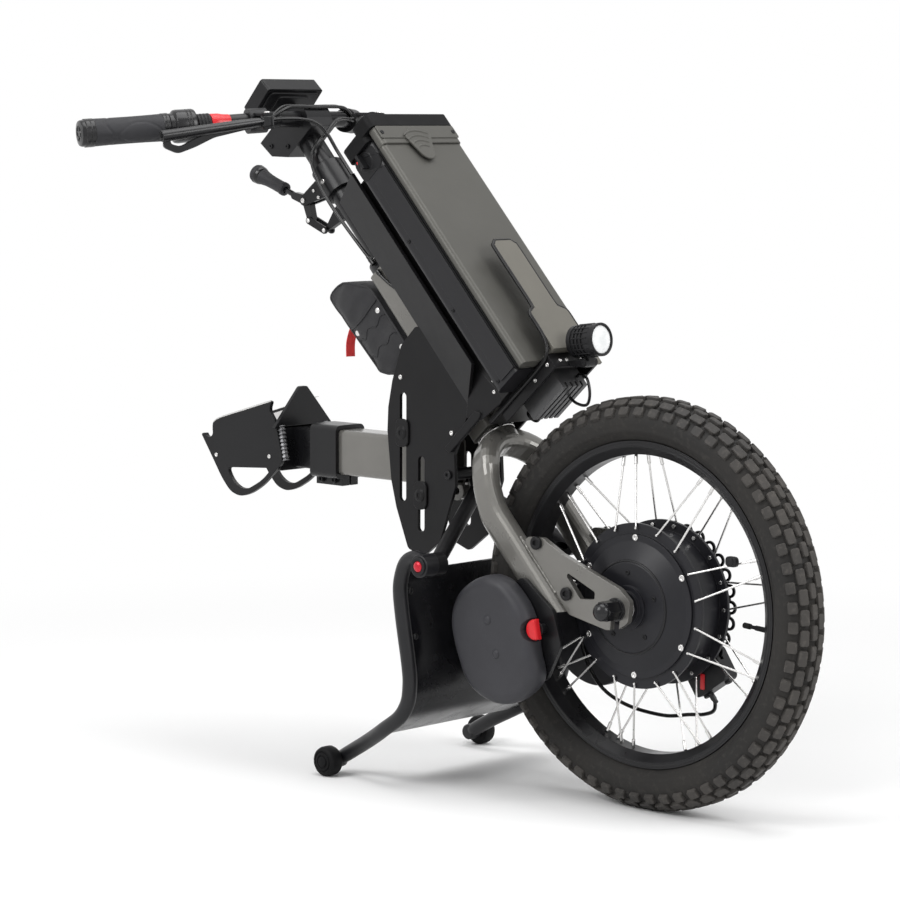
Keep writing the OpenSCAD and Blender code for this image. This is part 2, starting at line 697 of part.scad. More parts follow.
module guard_plate() color(olive) deck() {
    translate([guard_x, 0, 0]) rotate([90, 0, 90]) linear_extrude(guard_t) {
        translate([tail_y, tray_top - tail_h]) square([tail_w, tail_h + overrun]);
        polygon([[-guard_foot_w / 2, tray_top], [guard_foot_w / 2, tray_top],
            [guard_foot_w / 2, guard_step - guard_chamfer], [guard_w / 2, guard_step],
            [-guard_w / 2, guard_step], [-guard_foot_w / 2, guard_step - guard_chamfer]]);
        polygon([[-guard_w / 2, guard_step - overrun], [guard_w / 2, guard_step - overrun],
            [guard_w / 2, guard_top - guard_chamfer], [guard_w / 2 - guard_chamfer, guard_top],
            [guard_chamfer - guard_w / 2, guard_top], [-guard_w / 2, guard_top - guard_chamfer]]);
    }
    translate([guard_foot_x, -guard_foot_w / 2, tray_top])
        cube([guard_x - guard_foot_x + overrun, guard_foot_w, guard_t]);
}

// Motor controller with cooling fins under the tray
controller_w = 48;
controller_x = 84;
controller_l = 68;
controller_h = 34;
fin_count = 5;
fin_depth = 8;
fin_gap_share = 0.4;
controller_top = tray_top - floor_t;
module controller_box() color([0.55, 0.55, 0.55]) deck() difference() {
    translate([controller_x, -controller_w / 2, controller_top - controller_h])
        cube([controller_l, controller_w, controller_h]);
    for (i = [1:fin_count - 1]) translate([controller_x - overrun,
            i * controller_w / fin_count - controller_w / 2 - controller_w / fin_count * fin_gap_share / 2,
            controller_top - controller_h - overrun])
        cube([controller_l + 2 * overrun, controller_w / fin_count * fin_gap_share, fin_depth + overrun]);
}

// Slack loop of the lamp's lead, lower control cable and short motor conduit, all held by the frame
lead_d = 4;
lead_route = [[152.5, 14, -22], [160, 13, -24], [166, 11, -34], [164, 9, -46], [157, 8, -57], [147, 9, -62],
    [138, 11, -58], [131, 10, -48], [128, 9.6, -36.8]];
cable_d = 5;
down_route = [[1, -28, 287], [3, -27.8, 272], [9, -28, 254], [17, -28.5, 236], [26, -29, 216]];
cord_steps = 3;
conduit_r = 9;
conduit_rib = 1.2;
conduit_bore = 6;
conduit_ribs = 8;
conduit_pitch = 2;
conduit_y = 0;
conduit_z = -20;
module frame_cables() color(black) {
    deck() sweep(curve(lead_route, cord_steps), lead_d / 2, cord_sides, [0, 1, 0]);
    tilt() sweep(curve(down_route, cord_steps), cable_d / 2, cord_sides, [1, 0, 0]);
    deck() translate([controller_x, conduit_y, conduit_z]) rotate([0, -90, 0]) rotate_extrude()
        polygon(concat([[conduit_bore, 0]],
        [for (i = [0:conduit_ribs - 1]) for (k = [0, 1])
            [conduit_r + (k == 0 ? 0 : conduit_rib), (i + k / 2) * conduit_pitch]],
        [[conduit_r, conduit_ribs * conduit_pitch], [conduit_bore, conduit_ribs * conduit_pitch]]));
}

// Stand yoke with its two pivots
pivot = [14, -154];
pivot_eye_r = 15;
pivot_r = 6;
eye_w = stand_d + overrun;
yoke_r = 10;
yoke_bar = [-42, -50];
yoke_bar_r = 8;
yoke_hub = [-34, -72];
yoke_eye_w = 16;
eye_in = stand_y - eye_w / 2;
cap_r = 9;
cap_t = 5;
module yoke_side() {
    hub = [yoke_hub[0], 0, yoke_hub[1]];
    end = [pivot[0], -eye_in + slide_gap + yoke_eye_w / 2, pivot[1]];
    difference() {
        union() {
            rod(hub, end, yoke_r);
            translate([pivot[0], -eye_in + slide_gap + yoke_eye_w, pivot[1]]) rotate([90, 0, 0])
                cylinder(r = pivot_eye_r, h = yoke_eye_w);
        }
        translate([pivot[0], 0, pivot[1]]) rotate([90, 0, 0])
            cylinder(r = pivot_r + run_gap, h = 2 * stand_y);
        translate([pivot[0], -eye_in + slide_gap, pivot[1]]) rotate([90, 0, 0])
            cylinder(r = 2 * pivot_eye_r, h = stand_y);
    }
}
module stand_yoke() color(black) level() {
    both_sides() yoke_side();
    translate([yoke_hub[0], 0, yoke_hub[1]]) sphere(yoke_r + overrun);
    rod([yoke_bar[0], 0, yoke_bar[1]], [yoke_hub[0], 0, yoke_hub[1]], yoke_r - overrun);
    translate([yoke_bar[0], 0, yoke_bar[1]]) rotate([90, 0, 0])
        cylinder(r = yoke_bar_r, h = 2 * plate_in, center = true);
}
module pivot_bolts() color(red) level() both_sides()
    translate([pivot[0], -eye_in + slide_gap + yoke_eye_w, pivot[1]]) rotate([90, 0, 0]) {
        cylinder(r = pivot_r, h = yoke_eye_w + 2 * slide_gap + eye_w);
        translate([0, 0, yoke_eye_w + 2 * slide_gap + eye_w]) cylinder(r = cap_r, h = cap_t);
    }

// Headlamp: ribbed barrel that tilts on the tray's ears
lamp_r = 21;
lamp_l = 42;
lamp_rise = 7;
lamp_back = [138, 133];
lamp_ribs = 4;
lamp_rib_w = 3;
lamp_rib_depth = 1.6;
lens_r = 18;
lens_t = 4;
foot_half = ear_gap / 2 - slide_gap;
lamp_foot_r = 6;
lamp_foot_end = [199, -15];
module lamp_axis() deck() rotate([0, 90 - head_angle, 0]) translate([lamp_back[0], 0, lamp_back[1]])
    rotate([0, 90 - lamp_rise, 0]) children();
module headlight_body() color(black) {
    difference() {
        union() {
            lamp_axis() cylinder(r = lamp_r, h = lamp_l);
            deck() slab(-foot_half, 2 * foot_half) hull() {
                translate([lamp_pivot[0], lamp_pivot[2]]) circle(lamp_foot_r, $fn = 32);
                translate(lamp_foot_end) circle(lamp_foot_r, $fn = 32);
            }
            deck() translate(lamp_pivot) rotate([90, 0, 0])
                cylinder(r = lamp_pin_r, h = ear_gap + 2 * ear_t, center = true);
        }
        lamp_axis() {
            for (i = [0:lamp_ribs - 1]) translate([0, 0, lamp_rib_w * (2 * i + 2)]) difference() {
                cylinder(r = lamp_r + overrun, h = lamp_rib_w);
                cylinder(r = lamp_r - lamp_rib_depth, h = lamp_rib_w);
            }
            translate([0, 0, lamp_l - lens_t]) cylinder(r = lens_r + fit_gap, h = lens_t + overrun);
        }
    }
}
module headlight_lens() color(lens_clear) lamp_axis() translate([0, 0, lamp_l - lens_t])
    cylinder(r = lens_r, h = lens_t - fit_gap);

// Tool bag strapped behind the head tube
bag_x = -head_t / 2 - slide_gap;
bag_w = 58;
bag_depth = 82;
bag_l = 172;
bag_z = 158;
bag_round = 8;
bag_shares = [[0, 0.74], [-0.5, 1], [-1, 1], [-1, 0.76], [-0.92, 0.14], [-0.62, 0], [0, 0.09]];
module bag() color(soft_black) tilt() translate([bag_x, 0, bag_z])
    slab(-bag_w / 2, bag_w) round_poly(scaled(bag_shares, [bag_depth, bag_l]), bag_round);

// Battery pack: case, front cover, cap with a grip tab, and rubber handle
case_t = battery_t - 14;
corner_r = 9;
panel_inset = 18;
panel_proud = 2;
panel_l_share = 0.88;
trim_w = 3;
cover_x = case_t + trim_w / 3;
cover_round = 6;
cap_h = 20;
tab_w = 62;
tab_l = 46;
tab_t = 5;
tab_shares = [[-0.5, 0.44], [0.5, 0.44], [0.5, 0], [0.3, -1], [0.1, -1]];
handle_over = 4;
key_at = [22, 14];
key_r = 11;
key_recess = 4;
module pack_block(x, depth, l, w, r) translate([x + depth / 2, 0, 0])
    linear_extrude(l) round_rect(depth, w, r);
module battery_case() color(charcoal) deck() translate([battery_x, 0, battery_z]) difference() {
    union() {
        pack_block(0, case_t, battery_l, battery_w - 2 * panel_proud, corner_r);
        translate([panel_inset, -battery_w / 2, panel_inset / 3])
            cube([case_t - panel_inset - trim_w, battery_w, battery_l * panel_l_share]);
    }
    translate([key_at[0], -battery_w / 2 + panel_proud + key_recess, battery_l - key_at[1]])
        rotate([90, 0, 0]) cylinder(r = key_r + run_gap, h = 2 * key_recess);
}
module battery_cover() color(olive) deck() translate([battery_x, 0, battery_z])
    pack_block(cover_x, battery_t - cover_x, battery_l - cap_h, battery_w, cover_round);
module battery_cap() color(olive) deck() translate([battery_x, 0, battery_z + battery_l - cap_h]) {
    translate([0, 0, fit_gap])
        pack_block(cover_x, battery_t - case_t + panel_proud, cap_h + cap_h / 2, battery_w, cover_round);
    translate([battery_t + fit_gap, 0, 0]) rotate([90, 0, 90]) linear_extrude(tab_t)
        polygon(scaled(tab_shares, [tab_w, tab_l]));
}
handle_low = battery_l + fit_gap;
handle_bar = 18;
bar_back = case_t - handle_bar;
handle_w = battery_w + 2 * handle_over;
module battery_handle() color(black) deck() translate([battery_x, 0, battery_z]) {
    translate([0, 0, handle_low]) pack_block(0, case_t, cap_h, handle_w, corner_r);
    translate([0, 0, battery_l + cap_h / 2 + 2 * fit_gap])
        pack_block(bar_back, battery_t + handle_over - bar_back, cap_h, handle_w, corner_r);
}
key_shaft_r = 4;
key_t = 12;
module key_place() deck() translate([battery_x + key_at[0], -battery_w / 2 + panel_proud,
    battery_z + battery_l - key_at[1]]) rotate([90, 0, 0]) children();
module key_switch() color(soft_black) key_place() {
    translate([0, 0, -key_recess + slide_gap]) cylinder(r = key_r - slide_gap, h = key_recess);
    translate([-key_shaft_r / 2, slide_gap - key_r, 0]) cube([key_shaft_r, 2 * (key_r - slide_gap), key_t]);
}

// Stem with its headset collar, and the block that clamps the handlebar
stem_r = 17;
collar_r = 24;
collar_h = 14;
stem_low = head_low + head_l + overrun;
clamp_band = 45;
clamp_drop = 118;
clamp_z = bar_rise - clamp_drop;
clamp_r = 23;
bar_x = 19;
bar_seat = 26;
bar_head_w = 46;
bar_head_r = 20;
module stem_tube() color(black) tilt() difference() {
    union() {
        translate([0, 0, stem_low]) cylinder(r = collar_r, h = collar_h);
        translate([0, 0, stem_low]) cylinder(r = stem_r, h = bar_rise - bar_seat - stem_low);
        translate([0, 0, clamp_z]) cylinder(r = clamp_r, h = clamp_band);
    }
    translate([0, 0, stem_low - overrun])
        cylinder(d = steerer_d + 2 * run_gap, h = steerer_top - stem_low + 2 * overrun);
}
display_at = 55;
display_x = 0;
display_lean = 6;
display_size = [54, 104, 21];
display_round = 4;
display_pivot = [0, 37];
display_pin_r = 3;
hinge_w = 12;
hinge_r = 6;
hinge_t = 5;
block_points = [[-58, 25], [-53, -4], [-30, -bar_seat], [34, -bar_seat], [37, 0], [26, 20], [8, 25]];
module bar_clamp() color(black) tilt() translate([0, 0, bar_rise]) difference() {
    union() {
        slab(-bar_head_w / 2, bar_head_w) {
            polygon(block_points);
            translate([bar_x, 0]) circle(bar_head_r);
        }
        for (side = [-1, 1]) slab(side * (hinge_w + hinge_t) / 2 - hinge_t / 2, hinge_t) hull() {
            translate(display_pivot) circle(hinge_r, $fn = 32);
            translate([-hinge_r, 0]) square([2 * hinge_r, overrun]);
        }
    }
    translate([bar_x, 0, 0]) rotate([90, 0, 0])
        cylinder(d = bar_d + 2 * run_gap, h = 2 * bar_head_w, center = true);
    translate([display_pivot[0], 0, display_pivot[1]]) rotate([90, 0, 0])
        cylinder(r = display_pin_r + run_gap, h = bar_head_w, center = true);
}

// Handlebar: straight middle and two swept ends
bar_mid = [bar_x * sin(head_angle) - bar_rise * cos(head_angle), 0,
    bar_x * cos(head_angle) + bar_rise * sin(head_angle)];
bar_sweep = 23;
bar_dip = 4;
bend_r = bar_d / 2 + fit_gap;
// Local z runs out along the right swept end, local x forward of it and local y up
module along_bar() level() translate(bar_mid - [0, bar_flat, 0])
    rotate([0, 0, -90 - bar_sweep]) rotate([0, 90 + bar_dip, 0]) rotate(90) children();
module handlebar() color(black) {
    level() translate(bar_mid) rotate([90, 0, 0]) cylinder(d = bar_d, h = 2 * bar_flat, center = true);
    both_sides() along_bar() {
        cylinder(d = bar_d, h = bar_end);
        sphere(bend_r);
    }
}
grip_start = bar_end - grip_l;
plug_t = 7;
plug_inset = 1;
module grips() color(soft_black) both_sides() along_bar() difference() {
    union() {
        translate([0, 0, grip_start]) cylinder(d = grip_d, h = grip_l);
        translate([0, 0, bar_end]) cylinder(d = grip_d - 2 * plug_inset, h = plug_t);
    }
    translate([0, 0, grip_start - overrun]) cylinder(d = bar_d + 2 * run_gap, h = grip_l + overrun);
}
throttle_l = 38;
throttle_r = 19;
throttle_start = grip_start - slide_gap - throttle_l;
module pod_ring() translate([0, 0, throttle_start]) difference() {
    cylinder(r = throttle_r, h = throttle_l);
    translate([0, 0, -overrun]) cylinder(d = bar_d + 2 * run_gap, h = throttle_l + 2 * overrun);
}
module throttle_sleeve() color(soft_black) along_bar() pod_ring();

// Lever perches on the bar, with the left switch pod
perch_l = 26;
perch_r = 17;
perch_start = 18;
lever_ahead = 45;
lever_pin_r = 3;
lever_at = perch_start + perch_l / 2;
perch_arm_r = 8;
perch_arm_t = 4;
perch_gap = 14;
module perch() difference() {
    union() {
        translate([0, 0, perch_start]) cylinder(r = perch_r, h = perch_l);
        for (side = [-1, 1]) translate([0, side * (perch_gap + perch_arm_t) / 2, lever_at]) rotate([90, 0, 0])
            linear_extrude(perch_arm_t, center = true) hull() {
                circle(perch_arm_r, $fn = 32);
                translate([lever_ahead, 0]) circle(perch_arm_r, $fn = 32);
            }
    }
    translate([0, 0, perch_start - overrun]) cylinder(d = bar_d + 2 * run_gap, h = perch_l + 2 * overrun);
    translate([lever_ahead, 0, lever_at]) rotate([90, 0, 0])
        cylinder(r = lever_pin_r + run_gap, h = lever_ahead, center = true);
}
module control_pods() color(black) {
    both_sides() along_bar() perch();
    mirror([0, 1, 0]) along_bar() pod_ring();
}

// Brake levers: a round pull tube above a flat hooked blade, on one hub
tube_tip = [8, -10, 152];
tube_r = 6;
lever_hub_r = 9;
lever_hub_w = perch_gap - 2 * slide_gap;
blade_t = 6;
blade_points = [[0, 5], [80, -8], [110, -18], [128, -26], [142, -22], [140, -12], [146, -11], [150, -24],
    [131, -34], [106, -27], [78, -16], [0, -5]];
module brake_lever() translate([lever_ahead, 0, lever_at]) {
    rotate([90, 0, 0]) cylinder(r = lever_hub_r, h = lever_hub_w, center = true);
    rotate([90, 0, 0]) cylinder(r = lever_pin_r, h = perch_gap + 2 * perch_arm_t, center = true);
    rod([0, 0, 0], tube_tip, tube_r);
    translate([blade_t / 2, 0, 0]) rotate([0, -90, 0]) linear_extrude(blade_t) polygon(blade_points);
}
module brake_lever_right() color(soft_black) along_bar() brake_lever();
module brake_lever_left() color(soft_black) mirror([0, 1, 0]) along_bar() brake_lever();

// Control cables from the perches round the stem to its collar, below the bar
left_route = [[22.8, 81.6, -4.8], [30, 60, -9], [36.5, 36, -15.5], [38.5, 16, -25.5], [30, 0, -37],
    [20, -16, -46], [8, -25.5, -58], [0, -28.5, -79], [-5, -29.5, -117], [-5, -29, -158],
    [-2, -28, -209], [1, -26.9, -246]];
right_route = [[22.8, -81.6, -4.8], [30, -60, -9], [37, -36, -16.5], [40.5, -18, -27], [35, -4, -42],
    [28.5, 3, -65], [27.5, 4, -105], [27.2, 3, -165], [27, 2, -215], [26.8, 1, -246]];
module bar_cables() color(black) tilt() translate([0, 0, bar_rise]) {
    sweep(curve(left_route, cord_steps), cable_d / 2, cord_sides, [1, 0, 0]);
    sweep(curve(right_route, cord_steps), cable_d / 2, cord_sides, [1, 0, 0]);
}

// Over-centre latch behind the stem: base cheeks, catch, hand lever and hook straps
latch_drop = 81;
latch_pivot = [-58, bar_rise - latch_drop];
latch_eye_r = 7;
latch_t = 10;
latch_pin_r = 3;
latch_cheek_t = 4;
root_drop = 105;
latch_root = [-24, bar_rise - root_drop];
latch_root_size = [7, 28];
hook_drop = 107;
hook_pivot = [-70, bar_rise - hook_drop];
hook_eye_r = 5;
hook_pin_r = 2.5;
hook_t = 3;
catch_drop = 137;
hook_end = [-56, bar_rise - catch_drop];
catch_tip = [-49, bar_rise - catch_drop];
catch_r = 3.8;
catch_w = 9;
catch_root = [8, 22];
foot_drop = 60;
handle_foot = [-72, bar_rise - foot_drop];
tip_rise = 9;
handle_tip = [-107, bar_rise + tip_rise];
handle_arm_r = 5;
handle_r = 8.5;
handle_knob_r = 13;
handle_bare_share = 0.3;
module latch_catch() color(black) tilt() difference() {
    slab(-catch_w / 2, catch_w) hull() {
        translate(catch_tip) circle(catch_r, $fn = 32);
        translate([-stem_r - catch_root[0] / 2, catch_tip[1] - catch_root[1] / 2]) square(catch_root);
    }
    cylinder(r = stem_r + run_gap, h = bar_rise);
}
module latch_base() {
    latch_catch();
    latch_cheeks();
}
module latch_cheeks() color(black) tilt() difference() {
    both_sides() slab(latch_t / 2 + slide_gap, latch_cheek_t) hull() {
        translate(latch_pivot) circle(latch_eye_r, $fn = 32);
        translate(latch_root) square(latch_root_size);
    }
    translate([latch_pivot[0], 0, latch_pivot[1]]) rotate([90, 0, 0])
        cylinder(r = latch_pin_r + run_gap, h = 2 * clamp_r, center = true);
    cylinder(r = clamp_r + run_gap, h = bar_rise);
}
module latch_lever() color(black) tilt() {
    foot = [handle_foot[0], 0, handle_foot[1]];
    tip = [handle_tip[0], 0, handle_tip[1]];
    difference() {
        slab(-latch_t / 2, latch_t) {
            hull() {
                translate(latch_pivot) circle(latch_eye_r, $fn = 32);
                translate(hook_pivot) circle(hook_eye_r, $fn = 32);
            }
            hull() {
                translate(latch_pivot) circle(latch_eye_r, $fn = 32);
                translate(handle_foot) circle(handle_arm_r, $fn = 32);
            }
        }
        translate([hook_pivot[0], 0, hook_pivot[1]]) rotate([90, 0, 0])
            cylinder(r = hook_pin_r + run_gap, h = 2 * latch_t, center = true);
    }
    translate([latch_pivot[0], 0, latch_pivot[1]]) rotate([90, 0, 0])
        cylinder(r = latch_pin_r, h = latch_t + 2 * slide_gap + 2 * latch_cheek_t, center = true);
    rod(foot, tip, handle_arm_r - overrun);
    rod(foot + (tip - foot) * handle_bare_share, tip, handle_r);
    translate(tip) sphere(handle_knob_r);
}
module latch_hook() color(black) tilt() {
    both_sides() slab(latch_t / 2 + slide_gap, hook_t) hull() {
        translate(hook_pivot) circle(hook_eye_r, $fn = 32);
        translate(hook_end) circle(hook_eye_r, $fn = 32);
    }
    for (p = [hook_pivot, hook_end]) translate([p[0], 0, p[1]]) rotate([90, 0, 0])
        cylinder(r = hook_pin_r, h = latch_t + 2 * slide_gap + hook_t, center = true);
}

// Display on a tilting hinge above the bar clamp
button_r = 5;
button_h = 3;
button_share = 0.3;
button_sink = 2.5;
button_rest = 1.2;
module display_frame() tilt() translate([display_x, 0, bar_rise + display_at])
    rotate([0, -display_lean, 0]) children();
module display_case() color(black) {
    display_frame() difference() {
        translate([0, 0, -display_size[2] / 2]) linear_extrude(display_size[2])
            round_rect(display_size[0], display_size[1], display_round);
        translate([-display_size[0] * button_share, 0, display_size[2] / 2 - button_sink])
            cylinder(r = button_r + slide_gap, h = button_sink + overrun);
    }
    tilt() translate([0, 0, bar_rise]) {
        slab(slide_gap - hinge_w / 2, hinge_w - 2 * slide_gap) hull() {
            translate(display_pivot) circle(hinge_r, $fn = 32);
            translate([display_pivot[0] - hinge_r, display_at - display_size[2] / 2])
                square([2 * hinge_r, overrun]);
        }
        translate([display_pivot[0], 0, display_pivot[1]]) rotate([90, 0, 0])
            cylinder(r = display_pin_r, h = hinge_w + 2 * hinge_t, center = true);
    }
}
module display_button() color(charcoal) display_frame()
    translate([-display_size[0] * button_share, 0, display_size[2] / 2 - button_rest])
        cylinder(r = button_r, h = button_h);

// Docking arm: outer tube with bolted cheeks, clamp and sliding inner tube
arm_front = -76;
arm_rear = -322;
arm_round = 6;
bore_w = arm_w - 2 * arm_wall;
bore_h = arm_h - 2 * arm_wall;
cheek_t = 5;
cheek_r = 13;
arm_boss_r = 10;
bolt_r = 5;
bolts = [[-126, 0], [-92, -81]];
module x_tube(x0, x1, w, h, r) translate([x0, 0, -arm_drop]) rotate([90, 0, 90])
    linear_extrude(x1 - x0) round_rect(w, h, r);
bolt_gap = bolts[1] - bolts[0];
module cheek_outline() {
    for (b = bolts) translate(b) circle(cheek_r);
    translate(bolts[0]) rotate(atan2(bolt_gap[1], bolt_gap[0])) translate([0, -cheek_r])
        square([norm(bolt_gap), 2 * cheek_r]);
}
module docking_arm() color(greige) level() difference() {
    union() {
        x_tube(arm_rear, arm_front, arm_w, arm_h, arm_round);
        both_sides() {
            slab(arm_w / 2 - overrun, cheek_t + overrun) cheek_outline();
            for (b = bolts) translate([b[0], plate_in - slide_gap, b[1]]) rotate([90, 0, 0])
                cylinder(r = arm_boss_r, h = plate_in - slide_gap - arm_w / 2);
        }
    }
    x_tube(arm_rear - overrun, arm_front + overrun, bore_w, bore_h, arm_round - arm_wall);
    for (b = bolts) translate([b[0], 0, b[1]]) rotate([90, 0, 0])
        cylinder(r = bolt_r + run_gap, h = 4 * plate_y, center = true);
}
bolt_head_r = 9;
bolt_head_t = 6;
oval_r = 12;
oval_w = 38;
oval_t = 3;
module arm_bolts() color(black) level() for (b = bolts) translate([b[0], 0, b[1]]) {
    rotate([90, 0, 0]) cylinder(r = bolt_r, h = 2 * (plate_out + slide_gap + oval_t), center = true);
    for (s = [0, 1]) mirror([0, s, 0]) translate([0, -plate_out - slide_gap, 0]) rotate([90, 0, 0]) {
        linear_extrude(oval_t) difference() {
            round_rect(2 * oval_r, oval_w, oval_r - overrun);
            circle(bolt_r + run_gap);
        }
        translate([0, 0, oval_t]) cylinder(r = bolt_head_r - overrun, h = bolt_head_t);
    }
}
clamp_x = -325;
clamp_l = 51;
clamp_end = clamp_x + clamp_l;
clamp_wall = 6;
lug_drop = 10;
lug_w = 30;
slit = 3;
module arm_clamp() color(black) level() difference() {
    union() {
        x_tube(clamp_x, clamp_end, arm_w + 2 * clamp_wall, arm_h + 2 * clamp_wall,
            arm_round + clamp_wall / 2);
        translate([clamp_x, -lug_w / 2, -arm_drop - arm_h / 2 - clamp_wall - lug_drop])
            cube([clamp_l, lug_w, lug_drop + clamp_wall]);
    }
    x_tube(clamp_x - overrun, clamp_end + overrun, arm_w + 2 * run_gap, arm_h + 2 * run_gap, arm_round);
    translate([clamp_x - overrun, -slit / 2, -arm_drop - arm_h])
        cube([clamp_l + 2 * overrun, slit, arm_h / 2]);
}
tube_front = -150;
tube_rear = -366;
dock_t = 6;
module dock_tube() color(black) level() difference() {
    x_tube(tube_rear, tube_front, bore_w - 2 * slide_gap, bore_h - 2 * slide_gap, arm_round - arm_wall);
    x_tube(tube_rear - overrun, tube_front + overrun, bore_w - 2 * arm_wall, bore_h - 2 * arm_wall,
        arm_round - arm_wall);
}
// Docking plates with a hook notch, a loop below and a pointed cross plate
dock_l = 168;
dock_h = 136;
dock_x = -366;
dock_shares = [[-0.958, 0.074], [-0.905, 0.088], [-0.857, 0.059], [-0.815, 0.103], [-0.815, 0.21],
    [-0.72, 0.265], [-0.083, 0.49], [-0.12, 0.39], [-0.05, 0.28], [-0.035, 0.24], [0.048, -0.13],
    [-0.05, -0.24], [-0.2, -0.4], [-0.35, -0.5], [-0.476, -0.54], [-0.595, -0.5], [-0.7, -0.37],
    [-0.82, -0.16]];
loop_shares = [[-0.637, -0.25], [-0.083, -0.206], [-0.2, -0.34], [-0.375, -0.45], [-0.476, -0.45],
    [-0.57, -0.38]];
fin_half = 57;
fin_h = 58;
dock_round = 6;
notch_shares = [-0.857, 0.103];
module dock_points(shares) round_poly(scaled(shares, [dock_l, dock_h]), dock_round / 2);
module dock_plates() color(black) level() translate([dock_x, 0, -arm_drop]) difference() {
    union() {
        both_sides() {
            slab(dock_y - dock_t / 2, dock_t) difference() {
                dock_points(dock_shares);
                dock_points(loop_shares);
            }
        }
        translate([-dock_t, -dock_y, -arm_h / 2]) cube([dock_t, 2 * dock_y, arm_h]);
        translate([-dock_t, 0, bore_h / 2]) rotate([90, 0, 90]) linear_extrude(dock_t)
            round_poly([[-fin_half, 0], [fin_half, 0], [0, fin_h]], dock_round / 2);
    }
    translate([notch_shares[0] * dock_l, 0, notch_shares[1] * dock_h]) rotate([90, 0, 0])
        cylinder(d = dock_bar_d, h = 4 * dock_y, center = true);
}

// Stand: two bent legs with foot wheels, joined by a bent panel
foot_x = -165;
stand_path = [[14, -154], [-27, -183], [-31, -230], [-16, -320], [-58, -385], [-128, -416]];
stand_steps = 4;
stand_sides = 12;
foot_pin_r = 4;
foot_eye_r = 8;
foot_cheek_t = 4;
foot_gap = 2;
panel_t = 4;
panel_gap = 0.4;
foot_z = foot_d / 2 - crown_z;
leg_curve = curve([for (p = stand_path) [p[0], 0, p[1]]], stand_steps);
leg_end = stand_path[len(stand_path) - 1];
module stand_leg() {
    translate([0, -stand_y, 0]) difference() {
        union() {
            sweep([for (i = [1:len(leg_curve) - 1]) leg_curve[i]], stand_d / 2, stand_sides, [0, 1, 0]);
            translate([pivot[0], 0, pivot[1]]) rotate([90, 0, 0])
                cylinder(r = pivot_eye_r, h = eye_w, center = true);
            slab(-foot_w / 2 - slide_gap - foot_cheek_t, foot_w + 2 * slide_gap + 2 * foot_cheek_t) hull() {
                translate([foot_x, foot_z]) circle(foot_eye_r, $fn = 32);
                translate(leg_end) circle(foot_eye_r, $fn = 32);
            }
        }
        translate([pivot[0], 0, pivot[1]]) rotate([90, 0, 0])
            cylinder(r = pivot_r + run_gap, h = 2 * eye_w, center = true);
        translate([foot_x, 0, foot_z]) rotate([90, 0, 0])
            cylinder(r = foot_d / 2 + foot_gap, h = foot_w + 2 * slide_gap, center = true);
    }
    translate([foot_x, -stand_y, foot_z]) rotate([90, 0, 0])
        cylinder(r = foot_pin_r, h = foot_w + 2 * foot_cheek_t, center = true);
}
module stand_frame() color(soft_black) level() both_sides() stand_leg();
panel_from = 3;
module stand_panel() color(black) level() {
    side = [for (i = [panel_from:len(leg_curve) - 2]) let (w = way(leg_curve, i), n = [-w[2], 0, w[0]])
        leg_curve[i] + n * panel_t / 2];
    back = [for (i = [len(leg_curve) - 2:-1:panel_from]) let (w = way(leg_curve, i), n = [-w[2], 0, w[0]])
        leg_curve[i] - n * panel_t / 2];
    slab(-stand_y + stand_d / 2 + panel_gap, 2 * stand_y - stand_d - 2 * panel_gap)
        polygon([for (p = concat(side, back)) [p[0], p[2]]]);
}
module stand_wheel() level() translate([foot_x, -stand_y, foot_z]) rotate([90, 0, 0]) difference() {
    cylinder(d = foot_d, h = foot_w, center = true);
    cylinder(r = foot_pin_r + run_gap, h = 2 * foot_w, center = true);
}
module stand_wheel_right() color(black) stand_wheel();
module stand_wheel_left() color(black) mirror([0, 1, 0]) stand_wheel();

tyre();
rim();
spokes();
motor_shell();
motor_covers();
brake_disc();
fork();
dropout_plates();
axle();
axle_nuts();
motor_stator();
motor_bearings();
brake_caliper();
brake_hose();
ballast_brackets();
ballast_weights();
ballast_knob_right();
ballast_knob_left();
side_plates();
head_tube();
headset_bearings();
battery_rail();
battery_tray();
guard_plate();
controller_box();
frame_cables();
stand_yoke();
pivot_bolts();
headlight_body();
headlight_lens();
bag();
battery_case();
battery_cover();
battery_cap();
battery_handle();
key_switch();
stem_tube();
bar_clamp();
handlebar();
grips();
control_pods();
throttle_sleeve();
brake_lever_right();
brake_lever_left();
bar_cables();
latch_base();
latch_lever();
latch_hook();
display_case();
display_button();
docking_arm();
arm_bolts();
arm_clamp();
dock_tube();
dock_plates();
stand_frame();
stand_panel();
stand_wheel_right();
stand_wheel_left();
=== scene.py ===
# Looks of a clip-on front-wheel drive unit for a wheelchair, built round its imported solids.
# Lengths in the tables are millimetres; the scene is in metres, in the frame of the solids.
# The near side is the right-hand one, at negative y.
import json
import math

import bmesh
import bpy
from mathutils import Matrix, Vector
from mathutils.bvhtree import BVHTree


